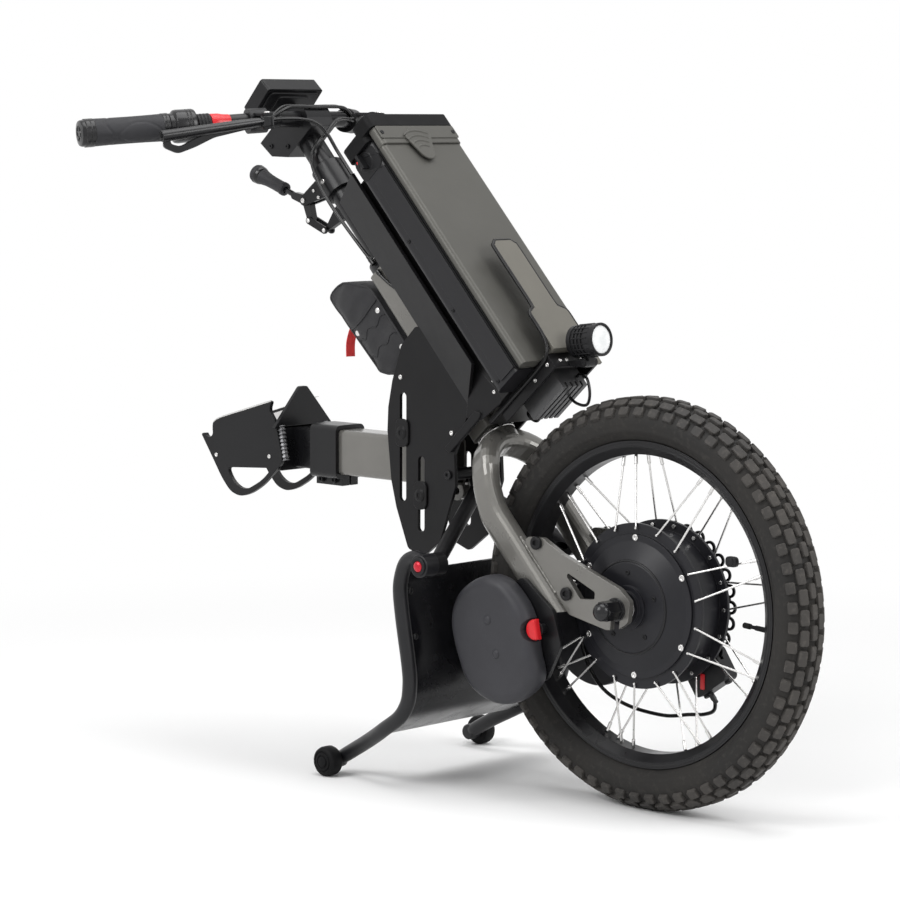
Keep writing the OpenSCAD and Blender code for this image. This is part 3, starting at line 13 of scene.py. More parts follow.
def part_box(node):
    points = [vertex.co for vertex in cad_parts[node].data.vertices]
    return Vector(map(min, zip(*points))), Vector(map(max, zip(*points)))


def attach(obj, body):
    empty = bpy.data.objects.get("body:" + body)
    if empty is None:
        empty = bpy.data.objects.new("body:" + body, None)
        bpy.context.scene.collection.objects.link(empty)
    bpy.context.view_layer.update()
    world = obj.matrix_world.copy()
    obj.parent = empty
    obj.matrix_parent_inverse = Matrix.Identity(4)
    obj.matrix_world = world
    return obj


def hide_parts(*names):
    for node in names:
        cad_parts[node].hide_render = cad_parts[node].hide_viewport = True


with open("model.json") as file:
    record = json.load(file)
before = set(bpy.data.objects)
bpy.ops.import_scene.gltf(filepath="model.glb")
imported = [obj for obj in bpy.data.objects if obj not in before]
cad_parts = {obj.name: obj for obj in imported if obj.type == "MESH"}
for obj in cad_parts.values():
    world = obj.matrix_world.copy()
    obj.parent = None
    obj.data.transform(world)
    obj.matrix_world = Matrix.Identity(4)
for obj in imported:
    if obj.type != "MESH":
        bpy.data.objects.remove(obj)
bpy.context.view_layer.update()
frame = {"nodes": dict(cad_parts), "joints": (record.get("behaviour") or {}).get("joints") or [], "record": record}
nodes = frame["nodes"]
joints = {joint["name"]: joint for joint in frame["joints"]}
scene = bpy.context.scene
MM = 0.001
FRONT = Vector((1, 0, 0))
SIDE = Vector((0, 1, 0))
OUT = -SIDE
UP = Vector((0, 0, 1))

# Frames of reference: the crown, the steering axis, the axle and the right end of the handlebar
CROWN = Vector(joints["steering"]["pos_m"])
STEER = Vector(joints["steering"]["axis"]).normalized()
AHEAD = SIDE.cross(STEER)
AXLE = Vector(joints["wheel_spin"]["pos_m"])
BAR_OUT = Vector(joints["throttle_turn"]["axis"]).normalized()
BAR_AHEAD = UP.cross(BAR_OUT).normalized()
BAR_TOP = BAR_OUT.cross(BAR_AHEAD)
BAR_RISE = 545


def level(x, y, z):
    """Point at a level offset from the crown."""
    return CROWN + Vector((x, y, z)) * MM


def tilt(t, y, s):
    """Point in the steering frame: t ahead of the axis, s up along it."""
    return CROWN + (AHEAD * t + SIDE * y + STEER * s) * MM


def bar(x, y, z):
    """Point by the right end of the handlebar: x ahead, y up and z out along it."""
    return tilt(19, -60, BAR_RISE) + (BAR_AHEAD * x + BAR_TOP * y + BAR_OUT * z) * MM


def wheel(radius, angle, y):
    """Point on the wheel: the angle is in degrees from straight ahead, upwards."""
    turn = math.radians(angle)
    return AXLE + Vector((radius * math.cos(turn), y, radius * math.sin(turn))) * MM


def place(origin, out, ahead=UP):
    """Matrix with its origin there, z along out and x as near ahead as it can be."""
    z = Vector(out).normalized()
    x = Vector(ahead)
    x = x - z * x.dot(z)
    if x.length < 1e-6:
        x = z.orthogonal()
    x.normalize()
    y = z.cross(x)
    return Matrix.Translation(origin) @ Matrix((x, y, z)).transposed().to_4x4()


def on(at, x, y, z):
    """Point in the matrix's own frame, from millimetres."""
    return at @ (Vector((x, y, z)) * MM)


def shift(at, x, y, z):
    """The matrix moved within its own frame, by millimetres."""
    return at @ Matrix.Translation(Vector((x, y, z)) * MM)


def polar(radius, turn):
    """Point on a circle, from its radius and an angle in radians."""
    return radius * math.cos(turn), radius * math.sin(turn)


def mirrored(point):
    """Point on the other side of the middle plane."""
    return Vector((point[0], -point[1], point[2]))


# Camera at the photograph's viewpoint
CAMERA_AT = Vector((2.75617, -2.99913, 0.87919))
CAMERA_YAW = 2.329
CAMERA_PITCH = -0.108
CAMERA_ROLL = 0.003
CAMERA_LENS = 124.44


def make_camera():
    ahead = Vector((math.cos(CAMERA_PITCH) * math.cos(CAMERA_YAW),
                    math.cos(CAMERA_PITCH) * math.sin(CAMERA_YAW), math.sin(CAMERA_PITCH)))
    right = ahead.cross(UP).normalized()
    up = right.cross(ahead)
    c, s = math.cos(CAMERA_ROLL), math.sin(CAMERA_ROLL)
    right, up = right * c + up * s, up * c - right * s
    data = bpy.data.cameras.new("camera")
    data.lens = CAMERA_LENS
    data.clip_end = 100
    camera = bpy.data.objects.new("camera", data)
    turn = Matrix((right, up, -ahead)).transposed()
    camera.matrix_world = Matrix.Translation(CAMERA_AT) @ turn.to_4x4()
    scene.collection.objects.link(camera)
    scene.camera = camera


# Materials by name: each one is noted as its node tree is made
MATERIALS = {}


class Graph:
    """Node tree of one material, with short calls for the nodes that the finishes share."""

    def __init__(self, name):
        self.material = MATERIALS[name] = bpy.data.materials.new(name)
        self.material.use_nodes = True
        self.tree = self.material.node_tree
        self.shader = self.tree.nodes["Principled BSDF"]
        self.coords = self.tree.nodes.new("ShaderNodeTexCoord").outputs["Object"]

    def node(self, kind, inputs=None, **settings):
        made = self.tree.nodes.new(kind)
        for key, value in settings.items():
            setattr(made, key, value)
        for key, value in (inputs or {}).items():
            self.feed(made.inputs[key], value)
        return made

    def feed(self, socket, value):
        if isinstance(value, bpy.types.NodeSocket):
            self.tree.links.new(value, socket)
        else:
            socket.default_value = value

    def set(self, **values):
        for key, value in values.items():
            self.feed(self.shader.inputs[key.replace("_", " ")], value)

    def noise(self, scale, detail=3.0, rough=0.55):
        return self.node("ShaderNodeTexNoise", {"Vector": self.coords, "Scale": scale, "Detail": detail,
                                                "Roughness": rough}).outputs["Fac"]

    def ramp(self, value, low, high, low_out=0.0, high_out=1.0):
        return self.node("ShaderNodeMapRange", {"Value": value, "From Min": low, "From Max": high, "To Min": low_out,
                                                "To Max": high_out}, interpolation_type="SMOOTHSTEP").outputs[0]

    def mix(self, share, first, second):
        made = self.node("ShaderNodeMix", data_type="RGBA")
        self.feed(made.inputs[0], share)
        self.feed(made.inputs[6], first)
        self.feed(made.inputs[7], second)
        return made.outputs[2]

    def math(self, kind, first, second=0.0):
        made = self.node("ShaderNodeMath", operation=kind)
        self.feed(made.inputs[0], first)
        self.feed(made.inputs[1], second)
        return made.outputs[0]

    def bump(self, height, strength, distance, normal=None):
        inputs = {"Height": height, "Strength": strength, "Distance": distance}
        if normal:
            inputs["Normal"] = normal
        return self.node("ShaderNodeBump", inputs).outputs[0]

    def rounded(self, radius):
        return self.node("ShaderNodeBevel", {"Radius": radius}, samples=4).outputs[0]

    def edges(self, rounded, low=0.02, high=0.25):
        """Share of wear: one on convex edges, from how far the rounded normal turns away."""
        geometry = self.node("ShaderNodeNewGeometry")
        dot = self.node("ShaderNodeVectorMath", operation="DOT_PRODUCT")
        self.feed(dot.inputs[0], rounded)
        self.feed(dot.inputs[1], geometry.outputs["Normal"])
        turn = self.math("SUBTRACT", 1.0, dot.outputs["Value"])
        return self.ramp(turn, low, high)


def rgb(red, green, blue):
    return (red, green, blue, 1.0)


def shade(colour, factor):
    return tuple(min(1.0, c * factor) for c in colour[:3]) + (1.0,)


def finish(name, colour, rough=(0.4, 0.5), metal=0.0, spread=0.12, cloud=14.0, grain=900.0, depth=0.00008,
           strength=0.25, edge=0.35, edge_colour=None, radius=0.0012, coat=0.0, coat_rough=0.2, specular=0.25,
           speck=0.0):
    """Painted, moulded or metal finish: clouded colour, uneven gloss, fine grain and worn edges."""
    g = Graph(name)
    cloud_noise = g.noise(cloud, 4.0, 0.6)
    grain_noise = g.noise(grain, 2.0, 0.5)
    base = g.mix(g.ramp(cloud_noise, 0.3, 0.7), shade(colour, 1 - spread), shade(colour, 1 + spread))
    if speck:
        base = g.mix(g.math("MULTIPLY", g.ramp(grain_noise, 0.52, 0.7), speck), base, shade(colour, 2.2))
    rounded = g.rounded(radius)
    worn = g.math("MULTIPLY", g.edges(rounded), g.ramp(g.noise(90.0, 3.0), 0.35, 0.65, 0.3 * edge, edge))
    base = g.mix(worn, base, edge_colour or shade(colour, 2.0))
    smear = g.math("ADD", g.math("MULTIPLY", cloud_noise, 0.6), g.math("MULTIPLY", g.noise(55.0, 3.0), 0.4))
    g.set(Base_Color=base, Metallic=metal, Roughness=g.ramp(smear, 0.3, 0.7, rough[0], rough[1]))
    g.set(Coat_Weight=coat, Coat_Roughness=coat_rough, Specular_IOR_Level=specular)
    g.set(Normal=g.bump(grain_noise, strength, depth, rounded))


def tyre_material(name, gain):
    """Black rubber with brown dust and scuffed edges; the gain lightens it, and on the tread blocks that lightening is
    painted light.
    """
    g = Graph(name)
    cloud = g.noise(9.0, 5.0, 0.62)
    fine = g.noise(160.0, 4.0, 0.6)
    base = g.mix(g.ramp(cloud, 0.32, 0.68), shade((0.013, 0.0122, 0.0116), gain), shade((0.026, 0.024, 0.022), gain))
    base = g.mix(g.ramp(fine, 0.5, 0.72, 0.0, 0.45), base, shade((0.045, 0.041, 0.037), gain))
    rounded = g.rounded(0.0011)
    base = g.mix(g.math("MULTIPLY", g.edges(rounded), 0.4), base, shade((0.06, 0.055, 0.05), gain))
    height = g.math("ADD", g.math("MULTIPLY", fine, 0.6), g.math("MULTIPLY", g.noise(1300.0, 2.0), 0.4))
    g.set(Base_Color=base, Roughness=g.ramp(cloud, 0.3, 0.7, 0.6, 0.8), Specular_IOR_Level=0.3)
    g.set(Normal=g.bump(height, 0.4, 0.0003, rounded))


def weave_material(name, colour, thread, depth, sheen):
    """Plain-woven nylon: crossing threads from two sine waves, with slubs and creases."""
    g = Graph(name)
    waves = []
    for axis in ("X", "Y", "Z"):
        wave = g.node("ShaderNodeTexWave", {"Vector": g.coords, "Scale": 1.0 / (thread * 2 * math.pi) * 2,
                                            "Distortion": 0.6, "Detail": 1.0}, bands_direction=axis)
        waves.append(wave.outputs["Fac"])
    weave = g.math("MULTIPLY", g.math("MAXIMUM", waves[0], waves[1]), waves[2])
    cloud = g.noise(22.0, 4.0, 0.6)
    base = g.mix(g.ramp(cloud, 0.3, 0.7), shade(colour, 0.75), shade(colour, 1.25))
    base = g.mix(g.math("MULTIPLY", weave, 0.35), base, shade(colour, 1.9))
    height = g.math("ADD", g.math("MULTIPLY", weave, 0.6), g.math("MULTIPLY", g.noise(140.0, 3.0), 0.8))
    g.set(Base_Color=base, Roughness=g.ramp(cloud, 0.3, 0.7, 0.62, 0.82), Sheen_Weight=sheen, Sheen_Roughness=0.5)
    g.set(Normal=g.bump(height, 0.5, depth))


def lens_material():
    """White moulded lens: pale facets under a clear coat."""
    g = Graph("lamp_glass")
    cells = g.node("ShaderNodeTexVoronoi", {"Vector": g.coords, "Scale": 240.0}).outputs["Distance"]
    ripple = g.noise(60.0, 2.0)
    base = g.mix(g.ramp(ripple, 0.3, 0.7), rgb(0.8, 0.82, 0.82), rgb(0.92, 0.93, 0.93))
    g.set(Base_Color=base, Roughness=g.ramp(ripple, 0.3, 0.7, 0.08, 0.16), Coat_Weight=0.6, Coat_Roughness=0.05)
    g.set(Normal=g.bump(cells, 0.25, 0.0006))


def screen_material():
    """Dark display glass with a faint print of smears."""
    g = Graph("screen_glass")
    smear = g.noise(60.0, 4.0)
    g.set(Base_Color=g.mix(g.ramp(smear, 0.3, 0.7), rgb(0.006, 0.007, 0.009), rgb(0.012, 0.013, 0.016)))
    g.set(Roughness=g.ramp(smear, 0.3, 0.7, 0.05, 0.16), Coat_Weight=0.6, Coat_Roughness=0.05)


BLACK = (0.007, 0.007, 0.008)
tyre_material("tyre_rubber", 0.9)
# The tread blocks take the casing's rubber 2.3 times lighter: painted light on the blocks that catch the lamps
tyre_material("tread_rubber_painted_lit", 2.3)
finish("rim_black", (0.01, 0.0098, 0.011), (0.26, 0.36), coat=0.1)
finish("bright_steel", (0.7, 0.69, 0.68), (0.16, 0.3), 1.0, 0.08, grain=1500.0, edge=0.1)
finish("motor_black", (0.013, 0.013, 0.016), (0.32, 0.42), grain=1600.0, strength=0.35)
finish("black_steel", BLACK, (0.26, 0.4))
finish("greige_paint", (0.165, 0.16, 0.148), (0.26, 0.36), 0.45, 0.05, grain=2600.0, speck=0.1, coat=0.55,
       coat_rough=0.08, edge=0.2)
finish("copper_core", (0.42, 0.2, 0.1), (0.3, 0.45), 0.9)
finish("caliper_black", (0.008, 0.008, 0.009), (0.3, 0.45))
finish("black_rubber", (0.006, 0.006, 0.0065), (0.5, 0.66), grain=700.0, strength=0.4, specular=0.12)
finish("ballast_black", (0.038, 0.038, 0.043), (0.4, 0.5), grain=1100.0, depth=0.00016, strength=0.5, edge=0.1)
finish("red_plastic", (0.6, 0.014, 0.02), (0.22, 0.36), spread=0.1, coat=0.3)
finish("plate_black", (0.007, 0.0068, 0.0075), (0.3, 0.4), grain=1500.0, strength=0.3, specular=0.2)
finish("rail_black", (0.007, 0.0068, 0.007), (0.26, 0.38))
finish("olive_metal", (0.15, 0.143, 0.124), (0.34, 0.44), 0.3, 0.04, grain=1800.0, speck=0.05, edge=0.25)
finish("controller_grey", (0.1, 0.1, 0.102), (0.32, 0.46), 0.6)
finish("red_metal", (0.5, 0.01, 0.025), (0.14, 0.26), 0.6, coat=0.4)
finish("lamp_black", (0.008, 0.008, 0.009), (0.3, 0.42))
finish("battery_charcoal", (0.012, 0.0118, 0.0135), (0.32, 0.42), 0.0, 0.07, grain=1500.0, strength=0.25, coat=0.1)
finish("battery_olive", (0.088, 0.086, 0.078), (0.36, 0.46), 0.3, 0.04, grain=1900.0, speck=0.05, edge=0.25)
finish("black_plastic", (0.008, 0.008, 0.009), (0.36, 0.5), grain=1000.0, strength=0.4)
finish("stem_black", BLACK, (0.26, 0.38), coat=0.1)
finish("lever_black", (0.006, 0.006, 0.007), (0.14, 0.26), edge=0.6, edge_colour=rgb(0.1, 0.1, 0.1), specular=0.4)
finish("stand_black", (0.009, 0.009, 0.0105), (0.3, 0.42), specular=0.35)
finish("panel_black", (0.006, 0.006, 0.0075), (0.2, 0.3), specular=0.4)
finish("grip_rubber", (0.03, 0.03, 0.033), (0.5, 0.64), grain=520.0, depth=0.0002, strength=0.5)
finish("weld_metal", (0.16, 0.16, 0.165), (0.26, 0.4), 0.8, 0.3, cloud=200.0)
finish("cable_black", (0.006, 0.006, 0.0065), (0.16, 0.3), spread=0.2, specular=0.4)
weave_material("bag_cloth", (0.01, 0.0098, 0.0115), 0.0009, 0.0003, 0.08)
weave_material("strap_red", (0.56, 0.026, 0.026), 0.0011, 0.0002, 0.2)
lens_material()
screen_material()
MATERIALS["lamp_lens"] = MATERIALS["lamp_glass"]


def dress_nodes():
    """Each solid keeps its shape and takes the finish of its record slot."""
    slots = {part["node"]: part["material_slot"] for part in frame["record"]["subparts"]}
    for name, obj in nodes.items():
        obj.data.materials.clear()
        obj.data.materials.append(MATERIALS[slots[name]])


# Floor, background and soft studio light
FLOOR_FADE = (0.7, 1.9)
WORLD_LIGHT = 0.45


def backdrop_share(tree):
    """One for the rays that see a white backdrop: camera, glossy and transmission rays."""
    path = tree.nodes.new("ShaderNodeLightPath")
    share = path.outputs["Is Camera Ray"]
    for kind in ("Is Glossy Ray", "Is Transmission Ray"):
        larger = tree.nodes.new("ShaderNodeMath")
        larger.operation = "MAXIMUM"
        tree.links.new(share, larger.inputs[0])
        tree.links.new(path.outputs[kind], larger.inputs[1])
        share = larger.outputs[0]
    return share


def make_stage():
    g = Graph("floor_white")
    far = g.node("ShaderNodeVectorMath", {0: g.coords}, operation="LENGTH").outputs["Value"]
    fade = g.math("MULTIPLY", g.ramp(far, *FLOOR_FADE), backdrop_share(g.tree))
    g.set(Base_Color=rgb(0.93, 0.93, 0.93), Roughness=0.9, Specular_IOR_Level=0.1)
    white = g.node("ShaderNodeEmission", {"Color": rgb(1, 1, 1), "Strength": 1.0})
    blend = g.node("ShaderNodeMixShader", {0: fade, 1: g.shader.outputs[0], 2: white.outputs[0]})
    g.tree.links.new(blend.outputs[0], g.tree.nodes["Material Output"].inputs["Surface"])
    bpy.ops.mesh.primitive_plane_add(size=60)
    floor = bpy.context.object
    floor.name = "floor"
    floor.data.materials.append(g.material)
    world = scene.world = bpy.data.worlds.new("studio")
    world.use_nodes = True
    tree = world.node_tree
    background = tree.nodes["Background"]
    background.inputs["Color"].default_value = rgb(1, 1, 1)
    strength = tree.nodes.new("ShaderNodeMapRange")
    strength.inputs["To Min"].default_value = WORLD_LIGHT
    tree.links.new(backdrop_share(tree), strength.inputs["Value"])
    tree.links.new(strength.outputs[0], background.inputs["Strength"])
    scene.view_settings.view_transform = "Standard"


# Lamps: name, place, aim, size and power
LIGHTS = [
    ("key", (-0.6, -2.6, 2.6), (0.0, 0.0, 0.45), 2.0, 60.0),
    ("front", (3.2, 0.6, 2.2), (0.2, 0.0, 0.4), 2.0, 55.0),
    ("top", (0.2, 0.2, 3.4), (0.1, 0.0, 0.3), 2.6, 50.0),
]


def make_lights():
    for name, at, aim, size, power in LIGHTS:
        data = bpy.data.lights.new(name, "AREA")
        data.shape = "DISK"
        data.size = size
        data.energy = power
        lamp = bpy.data.objects.new(name, data)
        lamp.matrix_world = place(Vector(at), Vector(at) - Vector(aim))
        scene.collection.objects.link(lamp)


# Meshes built from rings, lathes, tubes and plates
SMOOTH_ANGLE = math.radians(32)
AXIS = 0.01  # radius at which a lathe's profile ends on its axis


class Shape:
    """Mesh under construction: closed forms are added one after another, in metres."""

    def __init__(self):
        self.verts = []
        self.faces = []

    def add(self, verts, faces):
        base = len(self.verts)
        self.verts += [Vector(v) for v in verts]
        self.faces += [[base + i for i in face] for face in faces]
        return self

    def rings(self, rings, caps=True):
        """Skin over rings of equal length, closed at both ends unless caps is false."""
        n, m = len(rings[0]), len(rings)
        faces = []
        for i in range(m - 1):
            j = i + 1
            faces += [[i * n + k, i * n + (k + 1) % n, j * n + (k + 1) % n, j * n + k] for k in range(n)]
        if caps:
            faces += [list(range(n - 1, -1, -1)), [(m - 1) * n + k for k in range(n)]]
        return self.add([p for ring in rings for p in ring], faces)

    def lathe(self, at, profile, steps=40):
        """Profile of (radius, height) in millimetres, turned about the z of the matrix."""
        n = len(profile)
        verts, faces = [], []
        for k in range(steps):
            j = (k + 1) % steps
            x, y = polar(1, 2 * math.pi * k / steps)
            verts += [at @ Vector((r * MM * x, r * MM * y, z * MM)) for r, z in profile]
            faces += [[k * n + i, j * n + i, j * n + i + 1, k * n + i + 1] for i in range(n - 1)]
        return self.add(verts, faces)

    def tube(self, path, radius, sides=14):
        """Round tube along a path in metres; the radius in millimetres may vary along it."""
        radii = radius if isinstance(radius, list) else [radius] * len(path)
        circle = [polar(1, 2 * math.pi * k / sides) for k in range(sides)]
        normal = None
        rings = []
        for point, way, r in zip(path, ways(path), radii):
            normal = normal or way.orthogonal().normalized()
            normal = (normal - way * normal.dot(way)).normalized()
            other = way.cross(normal)
            rings.append([point + (normal * x + other * y) * r * MM for x, y in circle])
        return self.rings(rings)

    def ribbon(self, path, across, width, thick):
        """Flat strap along a path, as wide as given along the fixed direction."""
        rings = []
        for point, way in zip(path, ways(path)):
            a, b = across * width * MM / 2, across.cross(way).normalized() * thick * MM / 2
            rings.append([point - a - b, point + a - b, point + a + b, point - a + b])
        return self.rings(rings)

    def plate(self, at, outline, thick, bevel=0.6):
        """Flat plate on the matrix's x-y plane, from z 0 to thick, with chamfered edges."""
        inner = inset(outline, bevel)
        layers = [(inner, 0), (outline, bevel), (outline, thick - bevel), (inner, thick)]
        return self.rings([[on(at, x, y, z) for x, y in ring] for ring, z in layers])

    def twin(self):
        """Adds the mirror image across the middle plane."""
        return self.add([mirrored(v) for v in self.verts], self.faces)

    def loose(self, name):
        """Object that isn't yet tied to a body."""
        mesh = bpy.data.meshes.new(name)
        mesh.from_pydata(self.verts, [], self.faces)
        work = bmesh.new()
        work.from_mesh(mesh)
        bmesh.ops.remove_doubles(work, verts=work.verts, dist=1e-6)
        bmesh.ops.recalc_face_normals(work, faces=work.faces)
        work.to_mesh(mesh)
        work.free()
        obj = bpy.data.objects.new(name, mesh)
        scene.collection.objects.link(obj)
        return obj

    def piece(self, name, body, slot, *stands_for, material=None):
        """Finished piece on its body."""
        return settle(self.loose(name), body, slot, *stands_for, material=material)

    def pair(self, name, body, slot, replace=True):
        """Piece on the right-hand body and its mirror image on the left-hand one; the names take the hand."""
        for hand in ("right", "left"):
            carrier = body.format(hand)
            self.piece(name.format(hand), carrier, slot, *([carrier] if replace else []))
            self.verts = [mirrored(v) for v in self.verts]


def ways(path):
    """Direction of a path at each of its points."""
    last = len(path) - 1
    return [(path[min(i + 1, last)] - path[max(i - 1, 0)]).normalized() for i in range(last + 1)]


def settle(obj, body, slot, *stands_for, material=None):
    """Dresses a piece in its slot's material or another, ties it to its body and hides the solids it stands for."""
    obj.data.materials.clear()
    obj.data.materials.append(MATERIALS[material or slot])
    obj.data.polygons.foreach_set("use_smooth", [True] * len(obj.data.polygons))
    obj.data.set_sharp_from_angle(angle=SMOOTH_ANGLE)
    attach(obj, body)
    if stands_for:
        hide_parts(*stands_for)
    return obj


def evaluated(obj):
    """Mesh that the object's modifiers make."""
    return bpy.data.meshes.new_from_object(obj.evaluated_get(bpy.context.evaluated_depsgraph_get()))


def bake(obj):
    """Puts what the modifiers make into the object's mesh, and drops them."""
    mesh = evaluated(obj)
    obj.modifiers.clear()
    obj.data = mesh


def cut(obj, cutter):
    """Takes the cutter out of the piece and throws it away."""
    modifier = obj.modifiers.new("cut", "BOOLEAN")
    modifier.object = cutter
    modifier.solver = "EXACT"
    bake(obj)
    bpy.data.objects.remove(cutter)


def inset(outline, distance):
    """Outline moved inwards along the mitres of its corners; it runs counter-clockwise."""
    n = len(outline)
    area = sum(outline[i][0] * outline[(i + 1) % n][1] - outline[(i + 1) % n][0] * outline[i][1] for i in range(n))
    sign = 1 if area > 0 else -1
    moved = []
    for i in range(n):
        before, here, after = (Vector(outline[(i + k) % n]) for k in (-1, 0, 1))
        first, second = (here - before).normalized(), (after - here).normalized()
        normal = Vector((-first.y - second.y, first.x + second.x)) * sign
        if normal.length < 1e-9:
            moved.append(tuple(here))
            continue
        normal.normalize()
        across = max(0.4, normal.dot(Vector((-first.y, first.x)) * sign))
        moved.append(tuple(here + normal * distance / across))
    return moved


def rounded_outline(points, radius, steps=5):
    """Polygon with its corners rounded by arcs of about that radius."""
    n = len(points)
    outline = []
    for i in range(n):
        before, here, after = (Vector(points[(i + k) % n]) for k in (-1, 0, 1))
        a, b = (before - here), (after - here)
        trim = min(radius, 0.45 * a.length, 0.45 * b.length)
        start, stop = here + a.normalized() * trim, here + b.normalized() * trim
        for k in range(steps + 1):
            u = k / steps
            outline.append(tuple(start * (1 - u) ** 2 + here * 2 * u * (1 - u) + stop * u * u))
    return outline


def round_rect(width, height, radius, steps=5):
    """Rectangle about the origin, with rounded corners."""
    w, h = width / 2, height / 2
    return rounded_outline([(w, -h), (w, h), (-w, h), (-w, -h)], radius * 1.4, steps)


def spline(a, b, c, d, u):
    """Point of a smooth curve between b and c, with a and d on either side of them."""
    return (b + (c - a) * u / 2 + (2 * a - 5 * b + 4 * c - d) * u * u / 2
            + (3 * b - a - 3 * c + d) * u ** 3 / 2)


def smooth_path(points, steps=6):
    """Smooth curve through given points in metres."""
    last = len(points) - 1
    path = []
    for i in range(last):
        near = points[max(i - 1, 0)], points[i], points[i + 1], points[min(i + 2, last)]
        path += [spline(*near, k / steps) for k in range(steps)]
    return path + [points[-1]]


def closed_curve(points, steps=6):
    """Smooth closed outline through the points."""
    n = len(points)
    outline = []
    for i in range(n):
        near = [Vector(points[(i + k) % n]) for k in (-1, 0, 1, 2)]
        outline += [tuple(spline(*near, k / steps)) for k in range(steps)]
    return outline


def socket_head(shape, at, radius, height, steps=24):
    """Round screw head with a chamfered rim and a hexagon socket."""
    inner = radius * 0.58
    shape.lathe(at, [(radius, 0), (radius, height * 0.8), (radius * 0.88, height), (inner, height)], steps)
    hexagon = [polar(inner, k * math.pi / 3) for k in range(6)]
    rim = [polar(inner, k * 2 * math.pi / steps) for k in range(steps)]
    socket = [min(hexagon, key=lambda p: (p[0] - x) ** 2 + (p[1] - y) ** 2) for x, y in rim]
    socket = [tuple(Vector(p) * 0.86) for p in socket]
    layers = [(rim, height), (socket, height * 0.94), (socket, height * 0.45)]
    rings = [[on(at, x, y, z) for x, y in ring] for ring, z in layers]
    shape.rings(rings, caps=False)
    shape.add(rings[-1], [list(range(steps))])


def dome_head(shape, at, radius, height, steps=20):
    """Domed head, as on a rivet or a cap nut."""
    profile = [(radius, 0)] + [(radius * math.cos(k * math.pi / 12), height * math.sin(k * math.pi / 12))
                               for k in range(1, 6)] + [(AXIS, height)]
    shape.lathe(at, profile, steps)


# Tyre: casing with moulded bands and six rows of blocks
TYRE_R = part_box("tyre")[1].z / MM / 2
LUGS = 64
LUG_H = 5.0
BEAD_R = 203.0
CASING_HALF = 30.0
CASING_MID = (TYRE_R - LUG_H + BEAD_R) / 2
CASING_HIGH = TYRE_R - LUG_H - CASING_MID


def casing_point(angle, proud=0.0):
    """Radius and side offset on the casing, at an angle in degrees from the middle of the tread."""
    turn = math.radians(angle)
    return ((CASING_MID + (CASING_HIGH + proud) * math.cos(turn)), (CASING_HALF + proud) * math.sin(turn))


def block(shape, at, length, width, root, height, taper):
    """Tread block on the matrix: x along the tread, y across it, z out of the casing."""
    layers = []
    for z, share in ((-root, 1.0), (height * 0.35, 0.95), (height * 0.86, taper + 0.05), (height, taper - 0.04)):
        a, b = length / 2 * share, width / 2 * share
        outline = rounded_outline([(a, -b), (a, b), (-a, b), (-a, -b)], 1.6, 1)
        layers.append([on(at, x, y, z) for x, y in outline])
    shape.rings(layers)


def block_place(angle, radius, y, lean):
    """Matrix on the tread: x along the tread, z out and leaning to the side."""
    turn = math.radians(angle)
    out = Vector((math.cos(turn), 0, math.sin(turn)))
    along = Vector((-math.sin(turn), 0, math.cos(turn)))
    slope = math.radians(lean)
    return place(AXLE + (out * radius + SIDE * y) * MM, out * math.cos(slope) + SIDE * math.sin(slope), along)


def make_tyre():
    foot, lip, half = BEAD_R + 0.3, BEAD_R + 5.3, 16.7
    profile = [(foot, -13), (foot, -half), (lip, -half)]
    profile += [casing_point(a, 0.8 if 106 <= abs(a) <= 114 else 0.0) for a in range(-138, 139, 4)]
    profile += [(lip, half), (foot, half), (foot, 13)]
    profile += [casing_point(a, -4.0) for a in range(116, -117, -29)]
    profile.append(profile[0])
    Shape().lathe(place(AXLE, OUT, FRONT), profile, 3 * LUGS).piece("tyre_carcass", "wheel", "tyre_rubber", "tyre")
    # Rows from the middle outwards: place on the casing, lean, and length, width, root, height and taper of a block
    rows = [(11, 0, 19.5, 9.4, 3.0, TYRE_R - casing_point(11)[0] - 0.1, 0.9),
            (33, 33, 20.5, 11.6, 4.0, LUG_H - 0.4, 0.9),
            (60, 58, 15.5, 13.0, 4.0, LUG_H - 0.6, 0.84)]
    pitch = 360 / LUGS
    shape = Shape()
    for i in range(LUGS):
        for side in (-1, 1):
            for (angle, lean, *size), ahead in zip(rows, ((2 + side) / 4, 0.5, 0)):
                radius, y = casing_point(angle)
                block(shape, block_place((i + ahead) * pitch, radius, -side * y, -side * lean), *size)
    # The blocks wear the lightened rubber: painted light on the tread
    shape.piece("tread_blocks", "wheel", "tyre_rubber", material="tread_rubber_painted_lit")


# Cables, hose and leads, on the routes of their solids
LEFT_CABLE = [(22.8, 81.6, -4.8), (30, 60, -9), (36.5, 36, -15.5), (38.5, 16, -25.5), (30, 0, -37), (20, -16, -46),
              (8, -25.5, -58), (0, -28.5, -79), (-5, -29.5, -117), (-5, -29, -158), (-2, -28, -209), (1, -26.9, -246)]
RIGHT_CABLE = [(22.8, -81.6, -4.8), (30, -60, -9), (37, -36, -16.5), (40.5, -18, -27), (35, -4, -42), (28.5, 3, -65),
               (27.5, 4, -105), (27.2, 3, -165), (27, 2, -215), (26.8, 1, -246)]
LAMP_LEAD = [(152.5, 14, -22), (160, 13, -24), (166, 11, -34), (164, 9, -46), (157, 8, -57), (147, 9, -62),
             (138, 11, -58), (131, 10, -48), (128, 9.6, -36.8)]
LOWER_CABLE = [(1, -28, 287), (3, -27.8, 272), (9, -28, 254), (17, -28.5, 236), (26, -29, 216)]
HOSE = [(59.7, 48, -114), (66, 49, -124), (60, 54, -137), (40, 59, -145), (13, 63, -149.5), (-32, 66, -157),
        (-96, 68, -152), (-142, 68, -132), (-168, 66, -92), (-172, 64, -48), (-162, 64, -16), (-146, 64, -3)]


